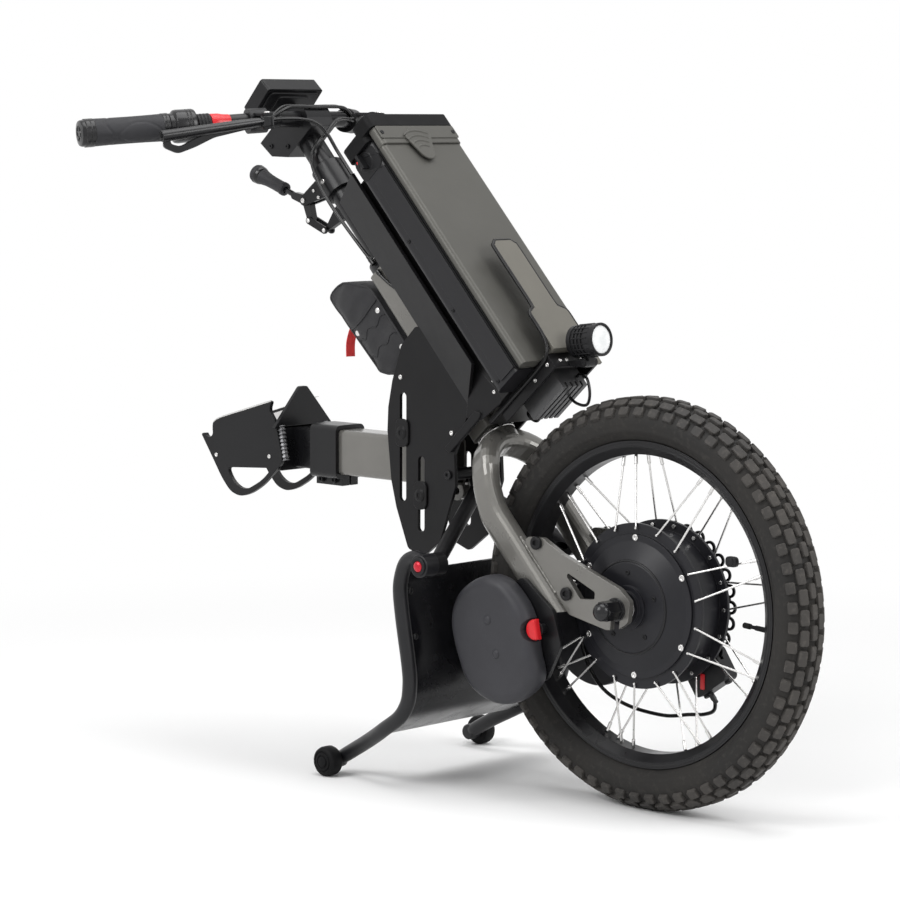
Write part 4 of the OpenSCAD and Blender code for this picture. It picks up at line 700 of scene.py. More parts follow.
def run(shape, points, radius, sleeve=0.0):
    """Cable through the points, with a stepped end sleeve of that length at both ends."""
    path = smooth_path(points, 8)
    shape.tube(path, radius, 14)
    if sleeve:
        for end, toward in ((path[0], path[3]), (path[-1], path[-4])):
            shape.lathe(place(end, toward - end), [
                (0.5, -0.2), (radius + 1.3, 0), (radius + 1.3, sleeve * 0.6), (radius + 0.7, sleeve * 0.7),
                (radius + 0.7, sleeve), (radius - 0.2, sleeve + 0.6)], 18)


def make_cables():
    shape = Shape()
    for route in (LEFT_CABLE, RIGHT_CABLE):
        run(shape, [tilt(t, y, BAR_RISE + s) for t, y, s in route], 2.5, 15)
    for t, s in ((35, 9), (41.5, 1.5)):
        half = [LEFT_CABLE[0], (t - 2, 56, s), (t, 30, s + 1)]
        route = half + [(t, 0, s)] + [(a, -y, b) for a, y, b in reversed(half)]
        run(shape, [tilt(a, y, BAR_RISE + b) for a, y, b in route], 2.2)
    shape.piece("control_cables", "steering", "black_rubber", "bar_cables", material="cable_black")
    shape = Shape()
    run(shape, [tilt(*p) for p in LAMP_LEAD], 2.0)
    run(shape, [tilt(*p) for p in LOWER_CABLE], 2.5, 8)
    ribs = [(6, 0)]
    for z in range(0, 16, 2):
        ribs += [(9, z), (9.2, z + 0.4), (10.2, z + 0.7), (10.2, z + 1.3), (9.2, z + 1.6)]
    shape.lathe(place(tilt(84, 0, -20), -AHEAD, STEER), ribs + [(9, 16), (6, 16)], 30)
    shape.piece("frame_leads", "frame", "black_rubber", "frame_cables", material="cable_black")
    shape = Shape()
    run(shape, [AXLE + Vector(p) * MM for p in HOSE], 2.5, 14)
    shape.piece("hose_line", "steering", "black_rubber", "brake_hose", material="cable_black")


# Fasteners, gathered into one piece for each body and finish
def fasteners(name, body, slot, *groups, twin=True, head=socket_head):
    """Screw heads in groups of (outward direction, radius, height, points)."""
    shape = Shape()
    for out, radius, height, points in groups:
        for point in points:
            head(shape, place(point, out), radius, height)
    if twin:
        shape.twin()
    shape.piece(name, body, slot)


def make_fasteners():
    fasteners("cover_screws", "wheel", "bright_steel",
              (OUT, 4.3, 2.4, [wheel(87.4, 30 + 60 * k, -30.6) for k in range(6)]))
    fasteners("hub_screws", "wheel", "black_steel",
              (OUT, 3.2, 1.8, [wheel(44, 20 + 72 * k, -43.6) for k in range(5)]), twin=False)
    fasteners("disc_screws", "wheel", "black_steel",
              (SIDE, 4.2, 2.6, [wheel(47, 60 * k, 46) for k in range(6)]), twin=False, head=dome_head)
    fasteners("dropout_bolts", "steering", "black_steel",
              (OUT, 8.5, 5, [level(133, -67.8, -121), level(184.5, -67.8, -181)]))
    fasteners("ballast_rivets", "steering", "ballast_black",
              (OUT, 6, 2.4, [level(88, -112.1, -221), level(103, -112.1, -263)]), head=dome_head)
    fasteners("plate_bolts", "frame", "bright_steel",
              (OUT, 3.2, 2.2, [level(-129.8, -47.4, 74.2), tilt(-22.5, -47.4, 28.9)]))
    fasteners("rail_bolts", "frame", "bright_steel", (OUT, 2.6, 2, [tilt(75, -49.9, 20), tilt(84, -49.9, 32)]))
    fasteners("tray_bolts", "frame", "bright_steel",
              (OUT, 2.6, 2, [tilt(134.7, -41.9, -10), tilt(164, -41.9, -8)]),
              (AHEAD, 2.6, 2, [tilt(171.9, -26, -9), tilt(171.9, -14, -9)]))
    fasteners("cap_screws", "battery", "black_steel",
              (AHEAD, 3, 1.2, [tilt(162.1, -68, 392), tilt(162.1, 68, 392)]), twin=False)
    fasteners("case_screws", "battery", "black_steel",
              (OUT, 2.6, 1.4, [tilt(106, -72.9, 14 + 118 * k) for k in range(3)]))
    fasteners("clamp_bolts", "arm", "black_steel",
              (OUT, 4.6, 5, [level(-313, -14.9, -79.5), level(-288, -14.9, -79.5)]))
    fasteners("panel_bolts", "stand", "black_steel", ((1, -0.1, -0.04), 4.6, 2.4, [level(-29, -133, -193)]),
              ((1, -0.1, 0.18), 4.6, 2.4, [level(-19.6, -133, -252)]), head=dome_head)
    fasteners("cheek_bolts", "steering", "bright_steel", (OUT, 3.6, 2.4, [tilt(-58, -9.2, 464)]),
              (OUT, 2.4, 2, [tilt(-33, -9.2, 460), tilt(-32, -9.2, 447)]))
    fasteners("link_bolts", "latch_hook", "bright_steel",
              (OUT, 3.4, 2.2, [tilt(-70, -8.2, 438), tilt(-56, -8.2, 408)]), head=dome_head)
    fasteners("block_bolts", "steering", "black_steel",
              (OUT, 3.4, 2.4, [tilt(6, -22.9, 561), tilt(-44, -22.9, 552), tilt(-20, -22.9, 530)]))
    fasteners("perch_bolts", "steering", "bright_steel", (BAR_TOP, 4.2, 2.4, [bar(45, 10.4, 31)]),
              (-BAR_AHEAD, 3.6, 2.6, [bar(-16, 3, 31)]))
    fasteners("collar_bolts", "steering", "bright_steel", (-AHEAD, 3.4, 2.6, [tilt(-22.6, 0, 299)]),
              (OUT, 3.4, 2.4, [tilt(0, -22.8, 448)]), twin=False)
    fasteners("yoke_bolts", "frame", "black_steel", (OUT, 6, 3.4, [level(-42, -47.4, -50)]))


# Wheel trim: rim ridges, valve and spoke magnet
def make_wheel_trim():
    at = place(AXLE, OUT, FRONT)
    rings = [([(r - 0.9, 19.1), (r - 0.5, 19.8), (r + 0.5, 19.8), (r + 0.9, 19.1)], 144) for r in (201.2, 205.2)]
    rings.append(([(57.5, 43.4), (58.4, 44.2), (60, 43.6), (60.4, 42.4)], 96))
    shape = Shape()
    for side in (-1, 1):
        for ring, steps in rings:
            shape.lathe(at, [(r, side * z) for r, z in ring], steps)
    shape.piece("rim_ridges", "wheel", "rim_black")
    seat = wheel(190, -4, 0)
    valve = [(6, 0), (6, 2.4), (3.4, 3), (3.2, 22), (2.4, 22.4), (2.4, 30), (3.6, 30.4), (3.6, 40), (2.8, 41),
             (AXIS, 41)]
    Shape().lathe(place(seat, AXLE - seat), valve, 20).piece("valve_stem", "wheel", "black_rubber")
    shape = Shape().plate(place(wheel(159, 26, -14), OUT, UP), round_rect(13, 18, 5), 7, 1.4)
    shape.lathe(place(wheel(159, 26, -21), OUT), [(4.4, 0), (4.4, 0.8), (3.6, 1.2), (AXIS, 1.2)], 20)
    shape.piece("spoke_magnet", "wheel", "black_plastic")


# Grips with moulded panels, lock rings and end plugs
def grip_radius(turn, share):
    """Radius of the rubber in millimetres at an angle and a share of its length."""
    radius = 18 + 0.6 * (2 * share - 1) ** 2
    leaf = 0.95 * math.sin(math.pi * min(1.0, max(0.0, (share - 0.02) / 0.66))) ** 0.8
    for centre in (-0.35, 2.79):
        off = abs((turn - centre + math.pi) % (2 * math.pi) - math.pi)
        radius -= 0.8 * math.exp(-((off - leaf) / 0.1) ** 2)
        radius += 0.35 if off < leaf else 0.0
    wave = 0.78 + 0.07 * math.sin(2 * turn)
    return radius - 0.9 * math.exp(-((share - wave) / 0.018) ** 2)


def make_grips():
    rows, steps = 80, 72
    turns = [2 * math.pi * k / steps for k in range(steps)]
    rings = [[bar(*polar(grip_radius(turn, i / rows), turn), 167 + 96 * i / rows) for turn in turns]
             for i in range(rows + 1)]
    Shape().rings(rings).twin().piece("grip_sleeves", "steering", "black_rubber", "grips", material="grip_rubber")
    at = place(bar(0, 0, 0), BAR_OUT, BAR_TOP)
    shape = Shape()
    for low, high in ((158.2, 167.6), (262.6, 275.4)):
        mid = (low + high) / 2
        shape.lathe(at, [(11.4, low), (18.6, low), (19.2, low + 0.6), (19.2, mid - 0.7), (18.6, mid - 0.4),
                         (18.6, mid + 0.4), (19.2, mid + 0.7), (19.2, high - 0.6), (18.6, high), (11.4, high)], 48)
    end = place(bar(0, 0, 275.4), BAR_OUT, BAR_TOP)
    shape.lathe(end, [(17.8, 0), (17.8, 4), (16.8, 6), (11, 7), (10, 5.6), (4.4, 5.2), (3.8, 6.4), (AXIS, 6.6)], 48)
    for k in range(5):
        turned = end @ Matrix.Rotation(2 * math.pi * k / 5, 4, "Z")
        shape.plate(shift(turned, 7.2, 0, 5), round_rect(6, 2.4, 1), 1.6, 0.4)
    shape.twin().piece("lock_rings", "steering", "lever_black")


# Bar trim: ribbed collars, red cable seats, throttle housing, levers with an open tube over a blade
LEVER_BLADE = [(0, 5), (80, -8), (108, -17), (126, -25.5), (140, -21), (139, -11.5), (147, -11.5), (151, -25),
               (131, -35), (106, -28), (78, -17), (0, -5)]


def make_bar_trim():
    at = place(bar(0, 0, 0), BAR_OUT, BAR_TOP)
    profile = [(11.3, 99)]
    for z in (99, 104, 109, 114):
        profile += [(14.6, z + 0.2), (15, z + 0.8), (15, z + 3.2), (14.2, z + 3.6)]
    Shape().lathe(at, profile + [(11.3, 119.2)], 40).twin().piece("ribbed_collars", "steering", "black_plastic")
    profile = [(11.2, 70), (11.8, 72), (12.4, 80), (13.8, 86), (14, 97), (13.6, 98), (11.2, 98.4)]
    Shape().lathe(at, profile, 32).twin().piece("cable_seats", "steering", "red_plastic")
    profile = [(11.3, 119.9), (18.6, 120), (21.6, 121.4), (22.6, 124), (22.6, 128), (21.8, 128.5), (21.8, 129.5),
               (22.6, 130), (22.6, 133), (21.8, 133.5), (21.8, 134.5), (22.6, 135), (22.8, 146), (22, 149.4),
               (19.6, 151.4), (18.4, 152), (18.2, 157), (17.4, 157.6), (11.3, 157.6)]
    Shape().lathe(at, profile, 56).piece("throttle_housing", "throttle", "lever_black", "throttle_sleeve")
    root, tip = bar(45, 0, 31), bar(53, -10, 183)
    tube = [(AXIS, -154), (4, -153.4), (5.9, -150), (5.95, -134), (6.3, -130), (6.9, -96), (7.5, -40), (7.7, -2),
            (7.7, 1.6), (7.2, 2.2), (5.9, 2.2), (5.5, 1.6), (5.4, 0.3), (AXIS, 0.3)]
    hub = [(AXIS, 0), (8.4, 0), (9, 0.7), (9, 12.5), (8.4, 13.2), (AXIS, 13.2)]
    blade = rounded_outline([(z, -y) for z, y in LEVER_BLADE], 6)
    shape = Shape().lathe(place(tip, tip - root), tube, 28).lathe(place(bar(45, -6.6, 31), BAR_TOP), hub, 32)
    shape.plate(place(bar(42, 0, 31), BAR_AHEAD, BAR_OUT), blade, 6, 0.9)
    shape.pair("lever_tube_{}", "brake_lever_{}", "lever_black")


# Ballast: pillow-shaped castings, pierced for their release knobs
BALLAST = [(79, -164.5), (55, -172.5), (33, -188), (21, -207), (16.5, -230.5), (22, -258), (31, -281), (41, -302),
           (57, -317.5), (80, -327.5), (102, -330), (122, -326), (141, -316), (157, -303), (165.5, -291), (166.5, -278),
           (159, -254), (153, -221), (142, -198), (125, -180), (110, -169), (95, -164.5)]
BALLAST_MID = (90, -247)
KNOB_AT = (160, -226)


def make_ballast():
    edge, low, high = 14.0, 84.3, 112.3
    outline = closed_curve(BALLAST)
    layers = [(3, low), (0.8, low + 1), (0, low + 3)]
    for k in range(9):
        turn = math.pi / 2 * k / 8
        layers.append((edge * (1 - math.cos(turn)), high - 1 - 16 * (1 - math.sin(turn))))
    rings = [[level(x, -y, z) for x, z in inset(outline, shrink)] for shrink, y in layers]
    face = inset(outline, edge)
    a, b = BALLAST_MID
    for size in (0.85, 0.65, 0.4, 0.15):
        rings.append([level(a + (x - a) * size, -high + size ** 2, b + (z - b) * size) for x, z in face])
    pillows = Shape().rings(rings).twin().loose("ballast_pillows")
    a, b = KNOB_AT
    bore = Shape().lathe(place(level(a, -70, b), OUT), [(0.001, 0), (16.4, 0), (16.4, 60), (0.001, 60)], 64)
    cut(pillows, bore.twin().loose("bore"))
    settle(pillows, "steering", "ballast_black", "ballast_weights")
    at = place(level(a, -84.6, b), OUT, FRONT)
    moon = [polar(13.5, math.radians(angle)) for angle in range(84, 309, 9)]
    rings = [[on(at, x, y, 11) for x, y in moon]]
    for k in range(8):
        turn = math.pi / 2 * k / 7
        ring = inset(moon, 2.2 * (1 - math.cos(turn)))
        rings.append([on(at, x, y, 15.4 + 4.4 * math.sin(turn)) for x, y in ring])
    Shape().rings(rings).pair("moon_knob_{}", "ballast_knob_{}", "red_plastic")
    stem = [(AXIS, -0.2), (6, -0.2), (6, 9), (9, 11.1), (AXIS, 11.1)]
    Shape().lathe(at, stem, 32).pair("stem_knob_{}", "ballast_knob_{}", "black_steel", replace=False)


# Tool bag: a sewn pouch blown up by cloth simulation inside its solid, with piping, snaps and a red pull tab
BAG = [(0, 0.74), (-0.5, 1), (-1, 1), (-1, 0.76), (-0.92, 0.14), (-0.62, 0), (0, 0.09)]
BAG_BACK = 22.4  # how far the bag stays behind the steering axis
BAG_HALF = 0.0305  # half its greatest width, in metres
TAB_WIDE = 0.013  # in metres too


def bag_outline(shrink):
    """Side view of the pouch in the steering frame, as (t, s) in millimetres."""
    points = [(-22.3 + t * 82, 158 + s * 172) for t, s in BAG]
    return inset(rounded_outline(points, 16, 4), shrink)


def swell(obj, cap):
    """Blows the mesh up as cloth under pressure, and holds each point within the cap."""
    remesh = obj.modifiers.new("remesh", "REMESH")
    remesh.mode = "VOXEL"
    remesh.voxel_size = 0.0045
    bake(obj)
    cloth = obj.modifiers.new("cloth", "CLOTH").settings
    cloth.quality = 6
    cloth.mass = 0.2
    cloth.use_pressure = True
    cloth.uniform_pressure_force = 4.0
    cloth.tension_stiffness = cloth.compression_stiffness = 12
    cloth.bending_stiffness = 0.4
    cloth.effector_weights.gravity = 0
    for number in range(1, 21):
        scene.frame_set(number)
    swollen = evaluated(obj)
    obj.modifiers.clear()
    scene.frame_set(1)
    for vertex, target in zip(obj.data.vertices, swollen.vertices):
        way = target.co - vertex.co
        vertex.co = vertex.co + way * min(1.0, cap / max(way.length, 1e-9))
    fine = obj.modifiers.new("fine", "SUBSURF")
    fine.levels = fine.render_levels = 1
    bake(obj)


def crease(obj):
    """Wrinkles the pouch's sides a little, and keeps it behind the head tube and inside its solid's width."""
    back = AHEAD.dot(CROWN) - BAG_BACK * MM
    for vertex in obj.data.vertices:
        p = vertex.co
        s = (p - CROWN).dot(STEER) / MM
        t = (p - CROWN).dot(AHEAD) / MM
        fold = math.sin(s * 0.11 + 0.05 * t) * math.sin(t * 0.13 + 1.0) + 0.6 * math.sin(s * 0.23 - t * 0.09)
        p.y *= 1.0 + 0.022 * fold
        p.y = max(-BAG_HALF, min(BAG_HALF, p.y))
        over = AHEAD.dot(p) - back
        if over > 0:
            vertex.co = p - AHEAD * over


def on_surface(tree, point, lift):
    """Nearest point of the tree's surface, raised by millimetres."""
    spot, normal, _, _ = tree.find_nearest(point)
    return spot + normal * lift * MM


def make_bag():
    layers = [(9, -24.5), (5, -25.8), (4, -24.5), (4, 0), (4, 24.5), (5, 25.8), (9, 24.5)]
    rings = [[tilt(t, y, s) for t, s in bag_outline(shrink)] for shrink, y in layers]
    bag = Shape().rings(rings).loose("tool_pouch")
    swell(bag, 0.006)
    crease(bag)
    settle(bag, "frame", "bag_cloth", "bag")
    tree = BVHTree.FromPolygons([v.co for v in bag.data.vertices], [p.vertices[:] for p in bag.data.polygons])
    shape = Shape()
    for side in (-1, 1):
        loop = [on_surface(tree, tilt(t, side * 27, s), 0.2) for t, s in bag_outline(2)]
        shape.tube(loop + loop[:2], 1.5, 10)
    flap = [on_surface(tree, tilt(-24 - 78 * u, y, 262 - 6 * math.sin(math.pi * u)), 0.6)
            for y, us in ((-34, [k / 14 for k in range(15)]), (34, [1 - k / 14 for k in range(15)])) for u in us]
    shape.tube(flap, 1.2, 8)
    for low in (205, 236):
        band = [on_surface(tree, tilt(-26 - 76 * k / 16, -36, low + 4 * math.sin(k)), 0.4) for k in range(17)]
        shape.tube(band, 0.6, 6)
    shape.piece("pouch_seams", "frame", "bag_cloth")
    snaps = [on_surface(tree, tilt(t, -40, s), 0.0) + SIDE * 0.6 * MM
             for t, s in ((-32, 250), (-34, 182), (-92, 250))]
    fasteners("pouch_snaps", "frame", "bright_steel", (OUT, 4.6, 2.2, snaps), twin=False, head=dome_head)
    start = on_surface(tree, tilt(-120, -8, 272), -0.5)
    path = smooth_path([start, start + Vector((-0.004, 0, -0.008)), start + Vector((-0.007, -0.001, -0.022)),
                        start + Vector((-0.006, -0.002, -0.040))], 6)
    shape = Shape()
    shape.ribbon(path, (SIDE + Vector((0.35, 0, 0))).normalized(), TAB_WIDE / MM, 1.4)
    tab = shape.piece("pull_tab", "frame", "red_plastic", material="strap_red")


# Battery trim: edge beads, cap with its ridged tab, key plate and mark
def make_battery_trim():
    beads = ((142.9, -74.0, 1.3), (146.8, -75.0, 0.7))
    shape = Shape()
    for t, y, r in beads:
        shape.tube([tilt(t, y, s) for s in (6, 120, 240, 372)], r, 8)
    shape.twin()
    for t, _, r in beads:
        shape.tube([tilt(t, y, 4.6) for y in (-73, 0, 73)], r, 8)
    shape.piece("pack_trim", "battery", "black_rubber")
    shape = Shape().plate(place(tilt(153, 0, 374.4), STEER, AHEAD), round_rect(15.6, 150, 6), 29.8, 0.8)
    front = place(tilt(160.6, 0, 0), AHEAD, STEER)
    shape.plate(front, rounded_outline([(382, -74), (403.6, -74), (403.6, 74), (382, 74)], 3), 1.6, 0.6)
    tab = [(386, 32), (400, 13), (402, -3), (392, -22), (368, -11), (347, -3), (342.5, 8), (348, 19)]
    shape.plate(front, rounded_outline(tab, 7), 3.4, 0.9)
    for radius in (20, 28.5, 37, 45.5):
        arc = [polar(radius, math.radians(-31 + 66 * k / 14)) for k in range(15)]
        shape.tube([on(front, 347 + x, 8 + y, 3.3) for x, y in arc], [0.4] + [1.3] * 13 + [0.4], 8)
    shape.piece("cap_and_tab", "battery", "battery_olive", "battery_cap")
    shape = Shape().plate(place(tilt(119, -72.8, 375), OUT, STEER), round_rect(34, 44, 7), 0.7, 0.3)
    shape.lathe(place(tilt(116, -73, 380), OUT), [(11.4, 0.4), (11.6, 1.4), (13.4, 1.4), (14, 0.4)], 40)
    for s in (352, 374):
        shape.tube([tilt(98, -73.1, s + 24), tilt(141, -73.1, s)], 0.8, 8)
    shape.piece("key_plate", "battery", "black_plastic")
    shape = Shape().plate(place(tilt(104.5, -73.4, 388), OUT, STEER), round_rect(4.4, 3, 1), 0.8, 0.2)
    shape.piece("key_mark", "battery", "red_plastic")


# Guard rails, lamp bezel and lens, display glass and holder, latch sleeve
GUARD_RAIL = [(40, -43.6, -3), (100, -43.6, -3), (156, -43.6, -2), (170, -42.6, 2), (177, -39.5, 12),
              (179.6, -37.4, 26), (180, -36.6, 44), (180, -36.4, 62), (180, -33, 68), (180, -25.6, 72.4),
              (180, -22.6, 80), (180, -22.4, 120), (180, -22.4, 174), (180, -20, 180), (180, -14.6, 185.6)]
BEAM_RISE = math.radians(7)
DISPLAY_LEAN = math.radians(6)


def make_front_trim():
    shape = Shape().tube(smooth_path([tilt(*p) for p in GUARD_RAIL], 6), 2.5, 12).twin()
    shape.tube([tilt(180, -14.6, 185.8), tilt(180, 14.6, 185.8)], 2.5, 12)
    shape.piece("guard_rail", "frame", "rail_black")
    at = place(level(138, 0, 133), (math.cos(BEAM_RISE), 0, math.sin(BEAM_RISE)), UP)
    bezel = [(18.3, 40.6), (18.6, 43.4), (20.4, 43.8), (21.5, 43), (21.5, 38.4), (20.8, 37.8)]
    shape = Shape().lathe(at, bezel, 56)
    for k in range(18):
        x, y = polar(21, 2 * math.pi * k / 18)
        shape.tube([on(at, x, y, z) for z in (8, 18, 34)], 0.9, 6)
    shape.piece("lamp_bezel", "headlight", "lamp_black")
    profile = [(18, 38.1), (18, 41.4)]
    profile += [(18 * math.cos(k * math.pi / 20), 41.4 + 1.6 * math.sin(k * math.pi / 20)) for k in range(1, 10)]
    Shape().lathe(at, profile + [(AXIS, 43)], 56).piece("lamp_lens", "headlight", "lamp_lens", "headlight_lens")
    at = place(tilt(0, 0, 600), STEER * math.cos(DISPLAY_LEAN) - AHEAD * math.sin(DISPLAY_LEAN), AHEAD)
    glass = Shape().plate(shift(at, 7, 0, 10.3), round_rect(34, 94, 3), 0.7, 0.3)
    glass.piece("display_glass", "display", "black_plastic", material="screen_glass")
    holder = Shape().plate(shift(at, 0, 0, -13.4), round_rect(44, 92, 5), 3, 0.8)
    holder.plate(shift(at, 2, 0, -16), round_rect(30, 60, 5), 3, 0.8)
    holder.piece("display_holder", "display", "black_plastic")
    foot, tip = tilt(-72, 0, 485), tilt(-107, 0, 554)
    long = (tip - foot).length / MM
    profile = [(5.2, 0.28 * long), (9.2, 0.29 * long), (9.6, 0.31 * long), (9.6, 0.36 * long), (8.9, 0.38 * long),
               (8.8, 0.6 * long), (9.2, 0.75 * long), (10.6, 0.88 * long), (12.8, long), (13.3, long + 3),
               (13.3, long + 5), (12, long + 9), (7, long + 12.4), (AXIS, long + 13.2)]
    sleeve = Shape().lathe(place(foot, tip - foot), profile, 40)
    sleeve.piece("latch_sleeve", "latch_lever", "black_rubber", material="grip_rubber")


# Stand: smooth bent legs that end inside ringed wheels, and the sheet between them
LEG = [(10, -150, -148), (-6, -150, -146), (-20, -150, -154), (-28, -150, -172), (-30.5, -150, -192), (-26, -150, -227),
       (-15, -150, -287), (-13, -150, -313), (-17, -150, -337), (-32, -149.5, -358), (-62, -147, -378),
       (-96, -137, -397), (-128, -130, -414), (-165, -128.4, -435)]
STAND_PIVOT = (14, -154)
FOOT_AXLE = (-165, -435.03)


def make_stand():
    path = smooth_path([level(*p) for p in LEG], 7)
    shape = Shape().tube(path, [9.8] * (len(path) - 3) + [9.5, 8.6, 5.5], 22)
    x, z = STAND_PIVOT
    hub = [(6.6, 0.4), (7, 0), (14.2, 0), (15, 0.8), (15, 23.4), (14.2, 24.2), (7, 24.2), (6.6, 23.8)]
    shape.lathe(place(level(x, -162.2, z), SIDE), hub, 40)
    x, z = FOOT_AXLE
    stub = [(AXIS, -6.4), (9, -6), (10.6, -4), (11, 0), (11, 11.4), (8, 12.4), (4, 12.4), (4, 31), (AXIS, 31)]
    shape.lathe(place(level(x, -127, z), OUT), stub, 32)
    shape.twin().piece("stand_legs", "stand", "black_steel", "stand_frame", material="stand_black")
    shape = Shape().ribbon([Vector((p.x, 0, p.z)) for p in path[19:-17]], SIDE, 285, 3)
    shape.piece("stand_sheet", "stand", "black_steel", "stand_panel", material="panel_black")
    ringed = [(4.4, 0), (15, 0), (18.6, 1.2), (20, 4), (20, 14.5), (18.8, 18.2), (16.4, 20.2), (14.8, 20.6), (14, 19.4),
              (12.6, 19.2), (11.8, 20.8), (9.6, 21.2), (8.8, 20), (7.4, 19.8), (6.6, 21.6), (4.4, 22.2), (AXIS, 22.4)]
    shape = Shape().lathe(place(level(x, -139.8, z), OUT), ringed, 48)
    shape.pair("wheel_{}_ringed", "stand_wheel_{}", "black_rubber")


# Docking plates with rounded loops and bare, worn top edges; arm bolts; stand pivots; headset rings
# The outlines are shares of the plates' length and height, and the far plate's top corner is trimmed
DOCK_X, DOCK_Z = -366, -40
DOCK_LONG, DOCK_HIGH = 168, 136
DOCK = [(-0.958, 0.074), (-0.905, 0.088), (-0.857, 0.059), (-0.815, 0.103), (-0.815, 0.21), (-0.72, 0.265),
        (-0.083, 0.49), (-0.12, 0.39), (-0.05, 0.28), (-0.035, 0.24), (0.048, -0.13), (-0.05, -0.24), (-0.2, -0.4),
        (-0.35, -0.5), (-0.476, -0.54), (-0.595, -0.5), (-0.7, -0.37), (-0.82, -0.16)]
LOOP = [(-0.637, -0.25), (-0.083, -0.206), (-0.2, -0.34), (-0.375, -0.45), (-0.476, -0.45), (-0.57, -0.38)]
FAR_DOCK = DOCK[:6] + [(-0.22, 0.44), (-0.2, 0.36)] + DOCK[8:]
BARE = [(-0.79, 0.1), (-0.79, 0.19), (-0.71, 0.24), (-0.23, 0.41), (-0.2, 0.35), (-0.09, 0.25), (-0.05, -0.1),
        (-0.14, -0.17), (-0.66, -0.2)]


def dock_points(shares, radius):
    """Rounded outline in millimetres."""
    return rounded_outline([(x * DOCK_LONG, z * DOCK_HIGH) for x, z in shares], radius)


def on_dock(y, shares, lift):
    """Path by the docking plates, raised by millimetres."""
    return [level(DOCK_X + x * DOCK_LONG, y, DOCK_Z + lift + z * DOCK_HIGH) for x, z in shares]


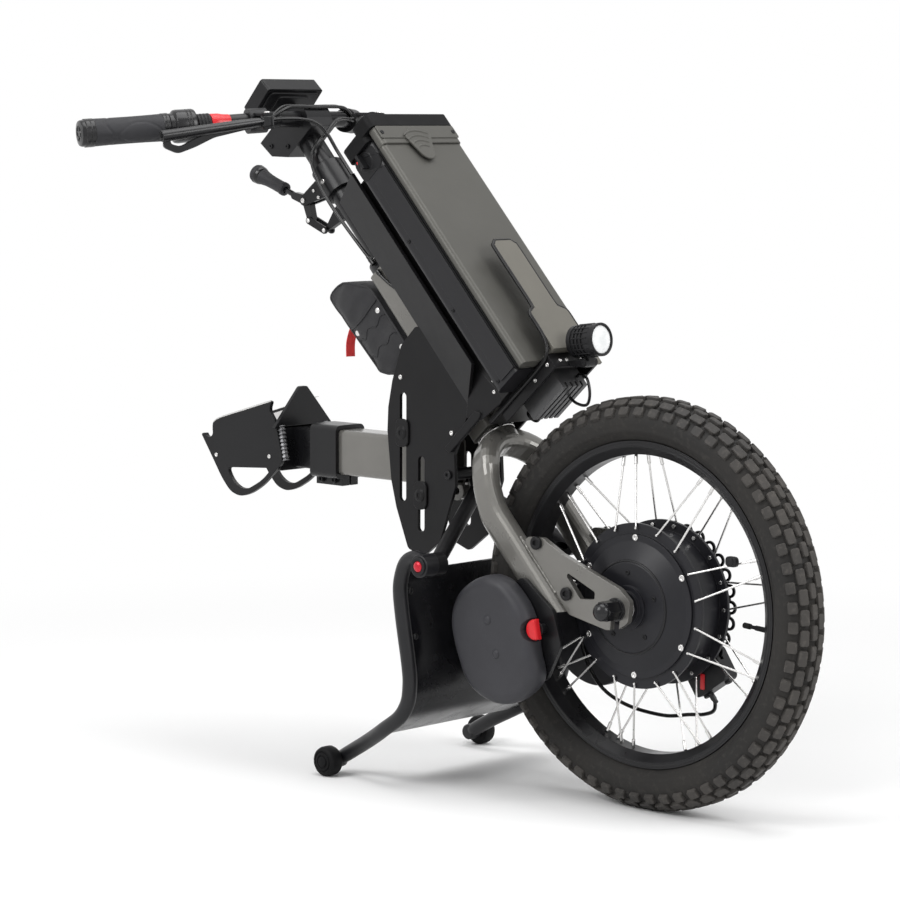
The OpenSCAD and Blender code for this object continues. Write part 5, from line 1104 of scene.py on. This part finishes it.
def make_dock():
    near = place(level(DOCK_X, -42, DOCK_Z), OUT, FRONT)
    shape = Shape().plate(near, dock_points(DOCK, 12), 6, 0.5)
    far = Shape().plate(near, dock_points(FAR_DOCK, 12), 6, 0.5)
    plates = shape.add([mirrored(v) for v in far.verts], far.faces).loose("dock_sides")
    hole = Shape().plate(shift(near, 0, 0, -10), dock_points(LOOP, 14), 26, 0.1)
    hole.lathe(shift(near, -0.857 * DOCK_LONG, 0.103 * DOCK_HIGH, -10), [(0.001, 0), (8, 0), (8, 26), (0.001, 26)], 40)
    cut(plates, hole.twin().loose("hole"))
    settle(plates, "dock", "black_steel", "dock_plates")
    back = place(level(DOCK_X, 0, DOCK_Z), -FRONT, UP)
    shape = Shape().plate(back, round_rect(62, 89.8, 2), 6, 0.5)
    shape.plate(back, rounded_outline([(28, -57), (84.5, -7), (84.5, 7), (28, 57)], 3), 6, 0.5)
    shape.piece("dock_cross", "dock", "black_steel")
    shape = Shape()
    for y in (-45, 45):
        shape.ribbon(on_dock(y, ((-0.7, 0.272), (-0.4, 0.378), (-0.11, 0.481)), 0.4), SIDE, 5, 0.8)
    for y, corner in ((-47.7, (-0.1, 0.481)), (47.7, (-0.24, 0.432))):
        top = on_dock(y, ((-0.8, 0.21), (-0.72, 0.262), (-0.4, 0.375), corner), -0.2)
        shape.tube(smooth_path(top, 4), 0.9, 8)
    lining = Shape().plate(place(level(DOCK_X, -41.6, DOCK_Z), OUT, FRONT), dock_points(BARE, 5), 0.5, 0.1).twin()
    shape.add(lining.verts, lining.faces).piece("bare_edges", "dock", "bright_steel")
    fasteners("dock_screws", "dock", "bright_steel",
              (OUT, 3, 1.6, [level(-494, -47.9, -58), level(-385, -47.9, -52)]))
    shape = Shape()
    for x, z in ((-126, 0), (-92, -81)):
        at = place(level(x, -47.8, z), OUT, FRONT)
        shape.plate(at, round_rect(24, 38, 11.9, 8), 3, 0.9)
        shape.lathe(at, [(8.9, 2.9), (8.9, 3.6), (8.2, 4.2), (7.4, 4.2)], 32)
        socket_head(shape, shift(at, 0, 0, 2.8), 7.4, 1.8)
    shape.twin().piece("oval_washers", "arm", "black_steel", "arm_bolts", material="plate_black")
    at = place(level(STAND_PIVOT[0], -162.6, STAND_PIVOT[1]), OUT)
    shape = Shape()
    dome_head(shape, at, 7.6, 4.6)
    shape.twin().piece("pivot_domes", "frame", "red_metal", "pivot_bolts")
    shape = Shape().lathe(at, [(7.5, 0.2), (7.8, 1.8), (11.4, 1.8), (12, 1.2), (12, -0.4)], 36)
    shape.twin().piece("pivot_washers", "frame", "black_steel")
    at = place(CROWN, STEER)
    shape = Shape().lathe(at, [(26.9, -0.4), (27.6, 0.4), (27.6, 2.8), (26.6, 4.1), (20, 4.3)], 56)
    shape.lathe(at, [(17.4, 307), (20.6, 306.6), (21.4, 307.4), (21.4, 309), (17.4, 310)], 48)
    shape.piece("headset_rings", "steering", "bright_steel")


# Foot of the strip and bracket bar on the side plates, caliper mark and bolts, glossy nuts
def make_foot():
    at = place(level(0, -47.5, 0), OUT, FRONT)
    shape = Shape().plate(at, rounded_outline([(-9, 28), (17, 26), (55, 53), (51, 64), (0, 104)], 4), 2.6, 0.5)
    shape.plate(at, rounded_outline([(-46, -14), (-36, -21), (16, 27), (21, 37), (10, 40)], 5), 6, 1.2)
    shape.twin().piece("strip_feet", "frame", "plate_black")
    shape = Shape().plate(place(wheel(113, -60, 35.9), OUT), round_rect(20, 7, 1.5), 1, 0.3)
    shape.piece("caliper_mark", "steering", "red_plastic")
    radial = wheel(127, -56, 48) - wheel(100, -56, 48)
    fasteners("caliper_bolts", "steering", "black_steel",
              (radial, 5, 4, [wheel(128, -47, 48), wheel(128, -65, 48)]), twin=False)
    nodes["axle_nuts"].data.materials[0] = MATERIALS["lever_black"]


# Weld beads
def bead(shape, path, radius):
    """Weld bead: a tube that swells and shrinks along a path."""
    fine = smooth_path(path, 7)
    shape.tube(fine, [radius * (1 + 0.22 * math.sin(2.1 * i)) for i in range(len(fine))], 8)


def make_welds():
    shape = Shape()
    for side in (-1, 1):
        bead(shape, [level(-368 + 2.5 * k, side * 42, -8 - 12 * k) for k in range(5)], 5)
    shape.piece("dock_weld", "dock", "bright_steel", material="weld_metal")
    shape = Shape()
    for side in (-1, 1):
        bead(shape, [tilt(-1.2, side * 68, s) for s in (-156, -175, -200, -225, -246)], 1.8)
    shape.piece("dropout_weld", "steering", "greige_paint")


for make in (make_camera, dress_nodes, make_stage, make_lights, make_tyre, make_cables, make_fasteners, make_wheel_trim,
             make_grips, make_bar_trim, make_ballast, make_bag, make_battery_trim, make_front_trim, make_stand,
             make_dock, make_foot, make_welds):
    make()
